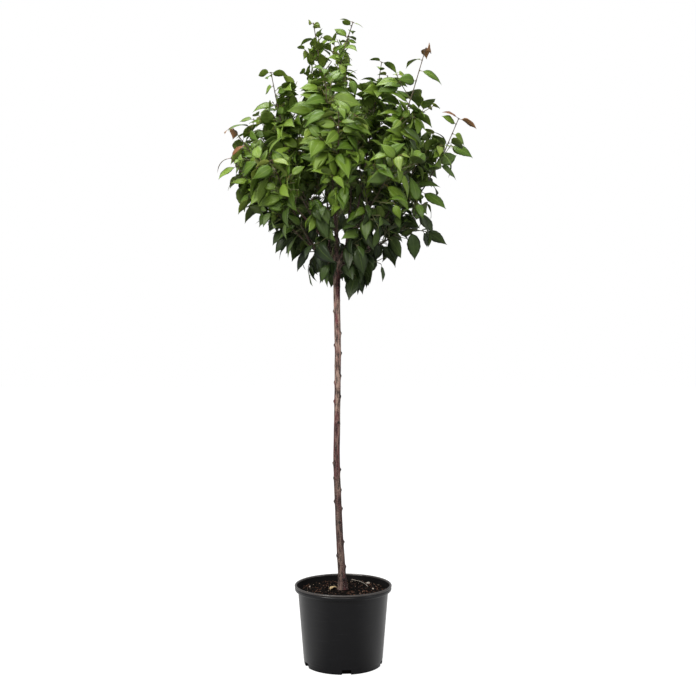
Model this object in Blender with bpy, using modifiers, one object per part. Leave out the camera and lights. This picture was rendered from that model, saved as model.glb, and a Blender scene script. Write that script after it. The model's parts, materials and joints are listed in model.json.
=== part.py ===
"""A flowering cherry grown as a standard, in summer leaf, in a black ten litre nursery pot.

Run with: blender --background --python part.py

Metres, +Z up. The origin is the centre of the flat underside of the pot, +X is the plant's
right-hand side and -Y its front. The pot, the compost in it, the trunk, each bough and each mass
of leaves are separate objects.

Every limb of the crown follows one curve, from its root to its leading tip. The first share of
the curve is the bough, one tapering tube. The rest is the stem of a mass of leaves: side twigs
stand on the stem, leaves stand on both, and all of them keep to the space that lies nearer to
their own stem than to any other.
"""

import math
import random
from collections import namedtuple

import bmesh
import bpy
import numpy as np
from mathutils import Quaternion, Vector

# ---------------------------------------------------------------- driving dimensions, in metres

POT_HEIGHT = 0.227
POT_RIM_RADIUS = 0.140
POT_TOP_RADIUS = 0.1296
POT_FOOT_RADIUS = 0.1125
POT_WALL = 0.0022
POT_LIP_HEIGHT = 0.0215
POT_SIDES = 36
NOTCH_COUNT = 5
NOTCH_TURN = math.radians(-85.0)
NOTCH_SIZE = (0.026, 0.024, 0.028)

SOIL_DEPTH_BELOW_RIM = 0.0165
SOIL_MOUND = 0.0015
FIT_GAP = 0.0003

TRUNK_RINGS = (  # height above the compost, radius, lean to the right
    (0.000, 0.0160, -0.0024),
    (0.008, 0.0142, -0.0024),
    (0.024, 0.0124, -0.0030),
    (0.055, 0.0112, -0.0044),
    (0.142, 0.0106, -0.0100),
    (0.257, 0.0099, -0.0150),
    (0.372, 0.0094, -0.0196),
    (0.459, 0.0092, -0.0180),
    (0.600, 0.0090, -0.0160),
    (0.690, 0.0090, -0.0152),
    (0.833, 0.0094, -0.0185),
    (0.905, 0.0108, -0.0187),
    (0.940, 0.0124, -0.0187),
    (0.958, 0.0104, -0.0187),
    (0.966, 0.0060, -0.0187),
)
TRUNK_SWAY = 0.003
TRUNK_BEVEL = 3
CROWN_AXIS = (-0.0187, 0.0)

LEAF_LENGTH = 0.090
LEAF_WIDTH = 0.52
LEAF_WIDEST = 0.42
LEAF_KEEL = 0.92
LEAF_THICKNESS = 0.0015
LEAF_YOUNG = 0.62
LEAF_SPACING = 0.0340
LEAF_TURN = math.radians(137.5)
LEAF_ARCH = 0.17
LEAF_FOLD = 0.12
LEAF_ROLL = 1.15

STEM_RADIUS = 0.0027
TWIG_RADIUS = 0.0019
TIP_RADIUS = 0.0011
TWIG_TURN = math.radians(137.5)
BOUGH_BEVEL = 1
BOUGH_POINTS = 5

CELL_GAP = 0.0045
LIMB_GAP = 0.0020
LEAF_GAP = 0.0046
SAMPLE_STEP = 0.006

# One row for each limb. parent, at: the limb that it grows from and how far along that limb's
# curve, or for the trunk the height. tip: where the leading shoot ends. launch: degrees above
# level at the root. bough: the share of the curve that is bare bough. radius: at the root.
# twigs: how many side twigs. reach: the length of the longest. bare: the share of the stem's
# end that has leaves alone. droop: how strongly the leaves hang. leaf: its leaves' size against the usual.
# seed: the draw of small turns.
Limb = namedtuple("Limb", "name parent at tip launch bough radius twigs reach bare droop leaf seed")
LIMBS = (
    Limb("top_left", "trunk", 1.178, (-0.086, 0.010, 1.846),
         88, 0.55, 0.0048, 5, 0.07, 0.30, 0.40, 0.72, 17),
    Limb("upper_right", "trunk", 1.150, (0.232, -0.080, 1.748),
         58, 0.20, 0.0054, 6, 0.11, 0.22, 0.55, 1.0, 24),
    Limb("far_right", "trunk", 1.138, (0.336, 0.030, 1.575),
         29, 0.24, 0.0048, 6, 0.10, 0.20, 0.45, 1.0, 3),
    Limb("low_left", "trunk", 1.136, (-0.318, -0.050, 1.445),
         38, 0.26, 0.0046, 6, 0.09, 0.20, 0.40, 1.0, 13),
    Limb("upper_left", "trunk", 1.150, (-0.205, -0.040, 1.690),
         60, 0.22, 0.0046, 6, 0.12, 0.18, 0.50, 1.0, 12),
    Limb("front", "trunk", 1.150, (-0.010, -0.260, 1.540),
         50, 0.24, 0.0046, 6, 0.12, 0.16, 0.70, 1.0, 28),
    Limb("back_right", "trunk", 1.150, (0.190, 0.240, 1.570),
         50, 0.24, 0.0048, 6, 0.12, 0.18, 0.60, 1.0, 19),
    Limb("back_left", "trunk", 1.150, (-0.190, 0.240, 1.550),
         50, 0.24, 0.0048, 6, 0.12, 0.18, 0.60, 1.0, 21),
    Limb("top_middle", "top_left", 0.50, (0.028, -0.030, 1.836),
         87, 0.20, 0.0032, 4, 0.06, 0.40, 0.40, 0.68, 4),
    Limb("upper_middle", "upper_right", 0.15, (0.112, 0.040, 1.742),
         78, 0.18, 0.0034, 6, 0.11, 0.18, 0.50, 1.0, 19),
    Limb("crown_top", "back_right", 0.16, (0.035, 0.130, 1.690),
         78, 0.20, 0.0034, 6, 0.12, 0.18, 0.50, 1.0, 26),
    Limb("right", "far_right", 0.18, (0.272, 0.100, 1.540),
         56, 0.20, 0.0034, 6, 0.11, 0.18, 0.60, 1.0, 12),
    Limb("left", "upper_left", 0.15, (-0.320, 0.020, 1.545),
         46, 0.20, 0.0034, 6, 0.11, 0.16, 0.60, 1.0, 30),
    Limb("left_high", "back_left", 0.16, (-0.250, 0.110, 1.600),
         60, 0.20, 0.0034, 6, 0.11, 0.18, 0.55, 1.0, 4),
    Limb("low_right", "far_right", 0.15, (0.230, -0.080, 1.315),
         14, 0.20, 0.0034, 6, 0.10, 0.16, 0.90, 1.0, 26),
    Limb("front_left", "low_left", 0.17, (-0.190, -0.210, 1.410),
         34, 0.20, 0.0034, 6, 0.11, 0.16, 0.60, 1.0, 12),
    Limb("front_right", "upper_right", 0.12, (0.150, -0.225, 1.420),
         36, 0.18, 0.0034, 6, 0.11, 0.16, 0.70, 1.0, 22),
    Limb("upper_front", "front", 0.16, (-0.050, -0.150, 1.665),
         76, 0.20, 0.0034, 6, 0.12, 0.18, 0.50, 1.0, 28),
    Limb("upper_back", "back_left", 0.12, (-0.070, 0.200, 1.670),
         76, 0.20, 0.0034, 6, 0.12, 0.18, 0.50, 1.0, 9),
    Limb("back", "back_right", 0.12, (0.020, 0.290, 1.430),
         28, 0.20, 0.0034, 6, 0.11, 0.16, 0.75, 1.0, 8),
    Limb("skirt_left", "trunk", 1.126, (-0.160, 0.050, 1.345),
         44, 0.0, 0.0027, 6, 0.09, 0.12, 1.1, 1.0, 24),
    Limb("skirt_front", "trunk", 1.128, (-0.085, -0.150, 1.315),
         42, 0.0, 0.0027, 6, 0.09, 0.12, 1.1, 1.0, 21),
    Limb("skirt_near_right", "trunk", 1.128, (0.065, -0.140, 1.305),
         40, 0.0, 0.0027, 6, 0.09, 0.12, 1.1, 1.0, 20),
    Limb("skirt_right", "trunk", 1.120, (0.155, 0.040, 1.300),
         38, 0.0, 0.0027, 6, 0.09, 0.12, 1.1, 1.0, 24),
    Limb("skirt_back", "trunk", 1.128, (-0.020, 0.170, 1.310),
         42, 0.0, 0.0027, 6, 0.09, 0.12, 1.1, 1.0, 6),
    Limb("low_spur", "trunk", 1.118, (0.064, -0.020, 1.206),
         16, 0.0, 0.0023, 2, 0.035, 0.10, 1.4, 1.0, 16),
)

# ---------------------------------------------------------------- scene, collections, materials


def clear_scene():
    for obj in list(bpy.data.objects):
        bpy.data.objects.remove(obj, do_unlink=True)


def new_collection(name):
    made = bpy.data.collections.new(name)
    bpy.context.scene.collection.children.link(made)
    return made


def new_material(name, colour, roughness):
    made = bpy.data.materials.new(name)
    made.use_nodes = True
    shader = made.node_tree.nodes["Principled BSDF"]
    shader.inputs["Base Color"].default_value = (*colour, 1.0)
    shader.inputs["Roughness"].default_value = roughness
    shader.inputs["Metallic"].default_value = 0.0
    return made


def new_object(name, data, material, collection):
    made = bpy.data.objects.new(name, data)
    if material is not None:
        data.materials.append(material)
    collection.objects.link(made)
    return made


# ---------------------------------------------------------------- turned shapes


def turned(name, profile, material, collection):
    """A solid of revolution: profile is (radius, height) down the outer side, closed on the axis."""
    mesh = bpy.data.meshes.new(name)
    corners = [(radius, 0.0, height) for radius, height in profile]
    mesh.from_pydata(corners, [(i, i + 1) for i in range(len(corners) - 1)], [])
    made = new_object(name, mesh, material, collection)
    screw = made.modifiers.new("turn", "SCREW")
    screw.axis = "Z"
    screw.steps = POT_SIDES
    screw.render_steps = POT_SIDES
    screw.use_merge_vertices = True
    screw.merge_threshold = 0.0001
    screw.use_smooth_shade = True
    return made


def wall_radius(height):
    """The outside radius of the pot's plain wall at a height."""
    wall_top = POT_HEIGHT - POT_LIP_HEIGHT
    return POT_FOOT_RADIUS + (POT_TOP_RADIUS - POT_FOOT_RADIUS) * height / wall_top


def inner_profile():
    """The pot's inside, (radius, height), from the middle of its floor up to the lip."""
    floor = POT_WALL
    wall_top = POT_HEIGHT - POT_LIP_HEIGHT
    return [
        (0.0, floor),
        (POT_FOOT_RADIUS - POT_WALL - 0.002, floor),
        (wall_radius(0.005) - POT_WALL, 0.0055),
        (wall_radius(wall_top) - POT_WALL, wall_top),
        (POT_RIM_RADIUS - 0.0086, POT_HEIGHT - 0.0100),
        (POT_RIM_RADIUS - 0.0068, POT_HEIGHT - 0.0018),
    ]


def inner_radius(height):
    """The radius of the pot's inside at a height."""
    profile = inner_profile()
    return float(np.interp(height, [h for _, h in profile], [radius for radius, _ in profile]))


def lip_profile():
    """The rolled lip, from its inner top edge over the upper bead, the groove and the lower bead."""
    rim = POT_RIM_RADIUS
    top = POT_HEIGHT
    return [
        (rim - 0.0048, top),
        (rim - 0.0014, top),
        (rim, top - 0.0022),
        (rim - 0.0004, top - 0.0070),
        (rim - 0.0020, top - 0.0084),
        (rim - 0.0011, top - 0.0102),
        (rim - 0.0012, top - 0.0145),
    ]


def foot_profile():
    """The plain wall down to the foot and in to the middle of the underside."""
    wall_top = POT_HEIGHT - POT_LIP_HEIGHT
    return [
        (POT_TOP_RADIUS, wall_top),
        (wall_radius(0.0035), 0.0035),
        (POT_FOOT_RADIUS - 0.0016, 0.0),
        (0.0, 0.0),
    ]


def notch_cutters(cutters):
    """One box for each drain notch, standing across the corner between the wall and the floor."""
    made = []
    for number in range(NOTCH_COUNT):
        mesh = bpy.data.meshes.new("notch")
        bm = bmesh.new()
        bmesh.ops.create_cube(bm, size=1.0)
        bmesh.ops.scale(bm, vec=NOTCH_SIZE, verts=bm.verts)
        bm.to_mesh(mesh)
        bm.free()
        cutter = new_object(f"notch_{number + 1}", mesh, None, cutters)
        turn = NOTCH_TURN + number * math.tau / NOTCH_COUNT
        cutter.location = (POT_FOOT_RADIUS * math.cos(turn), POT_FOOT_RADIUS * math.sin(turn), 0.0)
        cutter.rotation_euler = (0.0, 0.0, turn - math.pi / 2)
        cutter.hide_render = True
        cutter.display_type = "WIRE"
        made.append(cutter)
    return made


def build_pot(material, parts, cutters):
    pot = turned("pot", inner_profile() + lip_profile() + foot_profile(), material, parts)
    notch_cutters(cutters)
    cut = pot.modifiers.new("drain notches", "BOOLEAN")
    cut.operation = "DIFFERENCE"
    cut.operand_type = "COLLECTION"
    cut.collection = cutters
    cut.solver = "EXACT"
    return pot


def build_compost(material, parts):
    """The compost fills the pot to a little under the rim, a gap clear of the wall all round."""
    level = POT_HEIGHT - SOIL_DEPTH_BELOW_RIM
    inside = [(max(0.0, radius - FIT_GAP), height) for radius, height in inner_profile()[:4]]
    inside[0] = (0.0, POT_WALL + FIT_GAP)
    inside[1] = (inside[1][0], POT_WALL + FIT_GAP)
    shoulder = (inner_radius(level - 0.0010) - FIT_GAP, level - 0.0010)
    crown = level + SOIL_MOUND
    mound = [(0.0, crown), (0.030, crown), (0.075, level), (0.115, level + 0.0008)]
    return turned("compost", mound + [shoulder] + inside[::-1], material, parts)


# ---------------------------------------------------------------- curves in space


def bent(root, control, tip, t):
    """A point on the quadratic curve from root to tip."""
    return root * (1 - t) ** 2 + control * (2 * t * (1 - t)) + tip * t * t


def any_side(axis):
    """A unit vector square to axis, the one that lies most level."""
    side = axis.cross(Vector((0.0, 0.0, 1.0)))
    if side.length < 1e-4:
        side = Vector((1.0, 0.0, 0.0))
    return side.normalized()


def tube(name, points, radii, material, collection, bevel):
    """A tapering limb: a curve object with round section and filled caps."""
    data = bpy.data.curves.new(name, "CURVE")
    data.dimensions = "3D"
    data.bevel_depth = 1.0
    data.bevel_resolution = bevel
    data.use_fill_caps = True
    fill_spline(data, points, radii)
    return new_object(name, data, material, collection)


def fill_spline(data, points, radii):
    spline = data.splines.new("POLY")
    spline.points.add(len(points) - 1)
    for point, place, radius in zip(spline.points, points, radii):
        point.co = (*place, 1.0)
        point.radius = radius
    spline.use_smooth = True


# ---------------------------------------------------------------- distances


class Segments:
    """Straight pieces of limb with a radius at each end, and how far points are from them."""

    def __init__(self):
        self.starts = np.zeros((0, 3))
        self.ends = np.zeros((0, 3))
        self.radii = np.zeros((0, 2))

    def add(self, points, radii):
        places = np.array([tuple(p) for p in points])
        girths = np.array(radii, float)
        self.starts = np.vstack([self.starts, places[:-1]])
        self.ends = np.vstack([self.ends, places[1:]])
        self.radii = np.vstack([self.radii, np.column_stack([girths[:-1], girths[1:]])])

    def gap(self, points):
        """For each point, the distance to the nearest piece's surface."""
        if not len(self.starts):
            return np.full(len(points), 1e9)
        along = self.ends - self.starts
        offset = points[:, None, :] - self.starts[None]
        share = (offset * along).sum(2) / np.maximum((along * along).sum(1), 1e-12)
        share = np.clip(share, 0.0, 1.0)
        nearest = offset - share[..., None] * along
        girth = self.radii[:, 0] + share * (self.radii[:, 1] - self.radii[:, 0])
        return (np.linalg.norm(nearest, axis=2) - girth).min(1)


def nearest_pair(first, second):
    """The least distance between two sets of points."""
    if not len(first) or not len(second):
        return 1e9
    return float(np.linalg.norm(first[:, None, :] - second[None], axis=2).min())


def run_length(points):
    return sum((end - start).length for start, end in zip(points[:-1], points[1:]))


def along_run(points, distance):
    """The place at a distance along a run of points, and the direction there."""
    for start, end in zip(points[:-1], points[1:]):
        length = (end - start).length
        if distance <= length or end is points[-1]:
            return start.lerp(end, min(1.0, distance / length)), (end - start) / length
        distance -= length
    raise ValueError("a run needs two points")


def sampled(points, step=SAMPLE_STEP):
    """Points along a run of points, no further apart than step."""
    made = []
    for start, end in zip(points[:-1], points[1:]):
        count = max(1, math.ceil((end - start).length / step))
        made += [start.lerp(end, k / count) for k in range(count)]
    made.append(points[-1])
    return np.array([tuple(p) for p in made])


# ---------------------------------------------------------------- the crown's plan


class Branch:
    """One limb's curve, worked out from its row: the bough, then the stem of its leaves."""

    def __init__(self, row, root):
        self.row = row
        self.root = root
        self.tip = Vector(row.tip)
        rise = math.radians(row.launch)
        level = Vector((self.tip.x - root.x, self.tip.y - root.y, 0.0)).normalized()
        launch = level * math.cos(rise) + Vector((0.0, 0.0, math.sin(rise)))
        self.control = root + launch * (self.tip - root).length * 0.5

    def at(self, share):
        return bent(self.root, self.control, self.tip, share)

    def direction(self, share):
        ahead = min(1.0, share + 0.01)
        behind = max(0.0, share - 0.01)
        return (self.at(ahead) - self.at(behind)).normalized()

    def bough_radius(self, share):
        """Tapers from the root's radius to a little over the stem's at the bough's end."""
        along = share / self.row.bough
        return self.row.radius + (STEM_RADIUS + 0.0005 - self.row.radius) * along

    def bough_points(self, start, count):
        return [self.at(start + (self.row.bough - start) * k / (count - 1)) for k in range(count)]


def trunk_path():
    """The trunk's points and radii: a slight lean and sway, upright at the cut."""
    foot = POT_HEIGHT - SOIL_DEPTH_BELOW_RIM + SOIL_MOUND + FIT_GAP
    length = TRUNK_RINGS[-1][0]
    points = []
    for above, _, lean in TRUNK_RINGS:
        sway = TRUNK_SWAY * math.sin(math.tau * above / length)
        points.append(Vector((lean, sway, foot + above)))
    points[0].xy = points[1].xy
    return points, [radius for _, radius, _ in TRUNK_RINGS]


def point_at_height(points, height):
    for low, high in zip(points[:-1], points[1:]):
        if high.z >= height:
            return low.lerp(high, (height - low.z) / (high.z - low.z))
    return points[-1].copy()


def end_face(centre, direction, radius, count=12):
    """Points over a limb's round end: its rim, a ring half way in, and its middle."""
    side = any_side(direction)
    places = [tuple(centre)]
    for reach in (radius, radius / 2):
        for k in range(count):
            places.append(tuple(centre + Quaternion(direction, math.tau * k / count) @ side * reach))
    return np.array(places)


def clear_share(branch, radius, parent):
    """How far along its curve a limb starts, so that its end face is just clear of its parent."""
    share = 0.0
    while share < 0.5:
        face = end_face(branch.at(share), branch.direction(share), radius)
        if parent.gap(face).min() >= FIT_GAP:
            return share
        share += 0.001
    raise ValueError(f"{branch.row.name} never leaves its parent")


# ---------------------------------------------------------------- leaves

Leaf = namedtuple("Leaf", "root along side face length")


def half_width(share):
    """A leaf's half width at a share of its length: none at the ends, broadest below the middle."""
    return 0.5 * LEAF_WIDTH * max(0.0, math.sin(math.pi * share**0.76)) ** 1.2


def blade_point(leaf, share, across):
    """A point on the bent, folded blade. across is -1 to 1 between the edges."""
    arch = LEAF_ARCH * (0.8 * share - 1.7 * share * share)
    wide = across * half_width(share)
    return (
        leaf.root
        + leaf.along * (leaf.length * share)
        + leaf.side * (leaf.length * wide)
        + leaf.face * (leaf.length * (arch + LEAF_FOLD * abs(wide)))
    )


def blade_samples(leaf):
    """Points over the blade, close enough together to feel what it would touch."""
    made = []
    for share in (0.14, 0.26, 0.38, 0.50, 0.62, 0.74, 0.86, 1.0):
        for across in (-1.0, -0.5, 0.0, 0.5, 1.0):
            made.append(tuple(blade_point(leaf, share, across)))
    return np.array(made)


def leaf_mesh(leaf):
    """A closed blade of six faces, from a ball of three sides: its poles are the root and the tip,
    and of the three corners round it two are the edges and one the keel under the midrib."""
    mesh = bpy.data.meshes.new("leaf")
    bm = bmesh.new()
    bmesh.ops.create_uvsphere(bm, u_segments=3, v_segments=2, radius=1.0)
    middle = (blade_point(leaf, LEAF_WIDEST, 1.0) + blade_point(leaf, LEAF_WIDEST, -1.0)) / 2
    for vertex in bm.verts:
        across, keel, ahead = vertex.co
        if abs(ahead) > 0.5:
            vertex.co = blade_point(leaf, (1.0 + ahead) / 2, 0.0)
        elif keel > 0.5:
            vertex.co = leaf.root.lerp(middle, LEAF_KEEL) - leaf.face * LEAF_THICKNESS
        else:
            vertex.co = blade_point(leaf, LEAF_WIDEST, math.copysign(1.0, across))
    if bm.calc_volume(signed=True) < 0:
        bmesh.ops.reverse_faces(bm, faces=bm.faces)
    bm.to_mesh(mesh)
    bm.free()
    return mesh


# ---------------------------------------------------------------- growth


class Mass:
    """The leaves of one limb: a stem, side twigs by a turning rule, and leaves on both."""

    def __init__(self, branch, start, stem, others, limbs):
        self.branch = branch
        self.row = branch.row
        self.draw = random.Random(branch.row.seed)
        self.start = start
        self.home = stem
        self.others = others
        self.limbs = limbs
        self.twigs = []
        self.leaves = []
        self.wood = Segments()
        self.blades = np.zeros((0, 3))

    def keeps_home(self, points):
        """True if every point lies nearer to this stem than to any other stem, by a gap."""
        own = self.home.gap(points)
        return bool((own + CELL_GAP < self.others.gap(points)).all())

    def grow_stem(self):
        points = [self.branch.at(self.start + (1.0 - self.start) * k / 4) for k in range(5)]
        self.stem = points
        self.add_twig(points, STEM_RADIUS, TIP_RADIUS)
        self.grow_leaves(points, 0.08, self.draw.uniform(0, math.tau), 1.0)

    def add_twig(self, points, first_radius, last_radius):
        radii = [float(r) for r in np.linspace(first_radius, last_radius, len(points))]
        self.twigs.append((points, radii))
        self.wood.add(points, radii)

    def grow_twig(self, number):
        row = self.row
        share = 0.05 + (0.95 - row.bare) * (number + 0.5) / row.twigs
        root, lead = along_run(self.stem, share * run_length(self.stem))
        turn = number * TWIG_TURN + row.seed + self.draw.uniform(-0.4, 0.4)
        length = row.reach * self.draw.uniform(0.85, 1.15) * (1.15 - 0.6 * share)
        for change in (0.0, 0.7, -0.7, 1.4, -1.4, 2.4, -2.4):
            side = Quaternion(lead, turn + change) @ any_side(lead)
            heading = (side * 0.82 + lead * 0.62).normalized()
            for scale in (1.0, 0.7):
                points = self.twig_points(root, heading, length * scale)
                if self.twig_fits(points):
                    stem_radius = STEM_RADIUS + (TIP_RADIUS - STEM_RADIUS) * share
                    self.add_twig(points, min(TWIG_RADIUS, 0.8 * stem_radius), 0.9 * TIP_RADIUS)
                    self.grow_leaves(points, 0.28, turn, 0.95)
                    return

    def twig_points(self, root, heading, length):
        """A twig bends up towards the light, or down where the leaves hang heavily."""
        lift = Vector((0.0, 0.0, 0.35 - 0.40 * self.row.droop))
        control = root + heading * length * 0.5
        tip = root + (heading + lift).normalized() * length
        return [bent(root, control, tip, k / 2) for k in range(3)]

    def twig_fits(self, points):
        samples = sampled(points)[1:]
        if not self.keeps_home(samples):
            return False
        if self.limbs.gap(samples).min() < LIMB_GAP + TWIG_RADIUS:
            return False
        beyond = samples[2:]
        if len(beyond) and self.wood.gap(beyond).min() < 0.004:
            return False
        return nearest_pair(samples, self.blades) > LEAF_GAP

    def grow_leaves(self, points, first_share, turn, scale):
        """Leaves in a spiral up a stem or twig, smaller towards its end, and a pair at its tip."""
        total = run_length(points)
        place = total * first_share
        number = 0
        while place < total - 0.012:
            young = max(0.0, place / total - 0.7) / 0.3
            size = scale * (1.0 - (1.0 - LEAF_YOUNG) * young)
            self.grow_leaf(points, place, turn + number * LEAF_TURN, size)
            place += LEAF_SPACING * self.draw.uniform(0.85, 1.15) * (1.0 - 0.4 * young)
            number += 1
        for extra in (0.0, math.pi):
            self.grow_leaf(points, total - 0.0015, turn + number * LEAF_TURN + extra, scale * LEAF_YOUNG)

    def grow_leaf(self, points, place, turn, scale):
        root, lead = along_run(points, place)
        size = LEAF_LENGTH * self.row.leaf * scale * self.draw.uniform(0.85, 1.10)
        roll = self.draw.uniform(-LEAF_ROLL, LEAF_ROLL)
        for change in (0.0, 0.6, -0.6, 1.2, -1.2, 2.0, -2.0, 2.8):
            leaf = self.aim_leaf(root, lead, turn + change, size, roll)
            samples = blade_samples(leaf)
            if self.leaf_fits(samples):
                self.leaves.append(leaf)
                self.blades = np.vstack([self.blades, samples])
                return

    def aim_leaf(self, root, lead, turn, size, roll):
        """A leaf leaves its twig sideways and forwards and hangs, with its face to the light."""
        side = Quaternion(lead, turn) @ any_side(lead)
        along = side * 0.80 + lead * 0.45 - Vector((0.0, 0.0, self.row.droop))
        along.normalize()
        outwards = Vector((root.x - CROWN_AXIS[0], root.y - CROWN_AXIS[1], 0.0)).normalized()
        light = Vector((0.0, 0.0, 1.0)) + outwards * 0.6
        face = (light - along * light.dot(along)).normalized()
        face = Quaternion(along, roll) @ face
        return Leaf(root, along, along.cross(face), face, size)

    def leaf_fits(self, samples):
        if not self.keeps_home(samples):
            return False
        if self.limbs.gap(samples).min() < LIMB_GAP:
            return False
        if self.wood.gap(samples[5:]).min() < 0.0022:
            return False
        return nearest_pair(samples, self.blades) > LEAF_GAP

    def grow(self):
        self.grow_stem()
        for number in range(self.row.twigs):
            self.grow_twig(number)


# ---------------------------------------------------------------- solids of the masses


def three_sided(name, points, radii, triangle, collection):
    """A twig's closed mesh: a curve with a three-cornered section, its caps welded on."""
    data = bpy.data.curves.new(name, "CURVE")
    data.dimensions = "3D"
    data.bevel_mode = "OBJECT"
    data.bevel_object = triangle
    data.use_fill_caps = True
    fill_spline(data, points, radii)
    curve = new_object(name, data, None, collection)
    mesh = bpy.data.meshes.new_from_object(curve.evaluated_get(bpy.context.evaluated_depsgraph_get()))
    bpy.data.objects.remove(curve)
    bm = bmesh.new()
    bm.from_mesh(mesh)
    bmesh.ops.remove_doubles(bm, verts=bm.verts, dist=1e-6)
    bmesh.ops.triangulate(bm, faces=bm.faces)
    bmesh.ops.recalc_face_normals(bm, faces=bm.faces)
    bm.to_mesh(mesh)
    bm.free()
    return new_object(name, mesh, None, collection)


def triangle_section(collection):
    """The three-cornered section that every twig is swept with."""
    data = bpy.data.curves.new("twig_section", "CURVE")
    data.dimensions = "2D"
    spline = data.splines.new("POLY")
    spline.points.add(2)
    for number, point in enumerate(spline.points):
        turn = number * math.tau / 3
        point.co = (math.cos(turn), math.sin(turn), 0.0, 1.0)
    spline.use_cyclic_u = True
    section = new_object("twig_section", data, None, collection)
    section.hide_render = True
    return section


def largest_island(mesh):
    """Drops loose scraps and sealed hollows: only the largest joined surface stays."""
    bm = bmesh.new()
    bm.from_mesh(mesh)
    waiting = set(bm.verts)
    islands = []
    while waiting:
        island = {waiting.pop()}
        edge = list(island)
        while edge:
            vertex = edge.pop()
            for link in vertex.link_edges:
                other = link.other_vert(vertex)
                if other not in island:
                    island.add(other)
                    edge.append(other)
        waiting -= island
        islands.append(island)
    islands.sort(key=len)
    loose = [vertex for island in islands[:-1] for vertex in island]
    bmesh.ops.delete(bm, geom=loose, context="VERTS")
    bm.to_mesh(mesh)
    bm.free()


def fuse(name, pieces, material, collection, operands):
    """Joins closed pieces into one solid with one Boolean union on a collection."""
    base = pieces[0]
    for piece in pieces[1:]:
        for home in list(piece.users_collection):
            home.objects.unlink(piece)
        operands.objects.link(piece)
    join = base.modifiers.new("fuse", "BOOLEAN")
    join.operation = "UNION"
    join.operand_type = "COLLECTION"
    join.collection = operands
    join.solver = "MANIFOLD"
    mesh = bpy.data.meshes.new_from_object(base.evaluated_get(bpy.context.evaluated_depsgraph_get()))
    for piece in pieces:
        bpy.data.objects.remove(piece)
    mesh.name = name
    largest_island(mesh)
    mesh.materials.clear()
    return new_object(name, mesh, material, collection)


def build_mass(mass, section, material, parts, workshop, operands):
    pieces = [
        three_sided(f"twig_{number}", points, radii, section, workshop)
        for number, (points, radii) in enumerate(mass.twigs)
    ]
    for leaf in mass.leaves:
        pieces.append(new_object("leaf", leaf_mesh(leaf), None, workshop))
    return fuse(f"foliage_{mass.row.name}", pieces, material, parts, operands)


# ---------------------------------------------------------------- the plant


def plan_branches(trunk_points):
    """Every limb's curve, parents first."""
    branches = {}
    for row in LIMBS:
        if row.parent == "trunk":
            root = point_at_height(trunk_points, row.at)
        else:
            root = branches[row.parent].at(row.at)
        branches[row.name] = Branch(row, root)
    return branches


def plan_limbs(trunk_points, trunk_radii, branches):
    """The limbs' pieces for distances, and where on its curve each bough and stem starts."""
    trunk = Segments()
    trunk.add(trunk_points, trunk_radii)
    own = {"trunk": trunk}
    every = Segments()
    every.add(trunk_points, trunk_radii)
    boughs = {}
    starts = {}
    for name, branch in branches.items():
        row = branch.row
        radius = row.radius if row.bough else STEM_RADIUS
        start = clear_share(branch, radius, own[row.parent])
        starts[name] = start
        if not row.bough:
            continue
        count = BOUGH_POINTS
        points = branch.bough_points(start, count)
        radii = [branch.bough_radius(start + (row.bough - start) * k / (count - 1)) for k in range(count)]
        boughs[name] = (points, radii)
        own[name] = Segments()
        own[name].add(points, radii)
        every.add(points, radii)
        step = (branch.at(row.bough + 0.01) - branch.at(row.bough)).length
        starts[name] = row.bough + FIT_GAP / step * 0.01
    return boughs, starts, every


def plan_masses(branches, starts, limbs):
    """Grows every mass in its own space, the space nearer to its stem than to the others."""
    stems = {}
    for name, branch in branches.items():
        points = [branch.at(starts[name] + (1 - starts[name]) * k / 6) for k in range(7)]
        stems[name] = points
    masses = []
    for name, branch in branches.items():
        home = Segments()
        home.add(stems[name], [0.0] * 7)
        others = Segments()
        for other, points in stems.items():
            if other != name:
                others.add(points, [0.0] * 7)
        mass = Mass(branch, starts[name], home, others, limbs)
        mass.grow()
        masses.append(mass)
    return masses


def main():
    clear_scene()
    parts = new_collection("potted_flowering_cherry")
    cutters = new_collection("cutters")
    workshop = new_collection("workshop")
    operands = new_collection("operands")

    plastic = new_material("black_plastic", (0.020, 0.021, 0.022), 0.42)
    compost = new_material("compost", (0.030, 0.020, 0.014), 0.95)
    bark = new_material("bark", (0.135, 0.080, 0.060), 0.70)
    leaf_green = new_material("leaf_green", (0.070, 0.150, 0.025), 0.45)

    trunk_points, trunk_radii = trunk_path()
    branches = plan_branches(trunk_points)
    boughs, starts, limbs = plan_limbs(trunk_points, trunk_radii, branches)
    masses = plan_masses(branches, starts, limbs)
    section = triangle_section(workshop)
    for mass in masses:
        build_mass(mass, section, leaf_green, parts, workshop, operands)
    bpy.data.objects.remove(section)
    bpy.data.collections.remove(workshop)
    bpy.data.collections.remove(operands)

    build_pot(plastic, parts, cutters)
    build_compost(compost, parts)
    tube("trunk", trunk_points, trunk_radii, bark, parts, TRUNK_BEVEL)
    for name, (points, radii) in boughs.items():
        tube(f"bough_{name}", points, radii, bark, parts, BOUGH_BEVEL)
    return masses


if __name__ == "__main__":
    main()
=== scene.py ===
"""A young standard flowering cherry in its black nursery pot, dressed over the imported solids.

The crown grows by the same rule as the solids' crown, limb by limb and with the same seeds, and is
then carried to finer side shoots and more leaves in the room that is left. Sizes are in metres.
"""

import json
import logging
import math
import random
from collections.abc import Iterable
from dataclasses import dataclass, field
from enum import Enum

import bmesh
import bpy
import numpy as np
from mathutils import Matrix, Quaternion, Vector, noise

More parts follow.
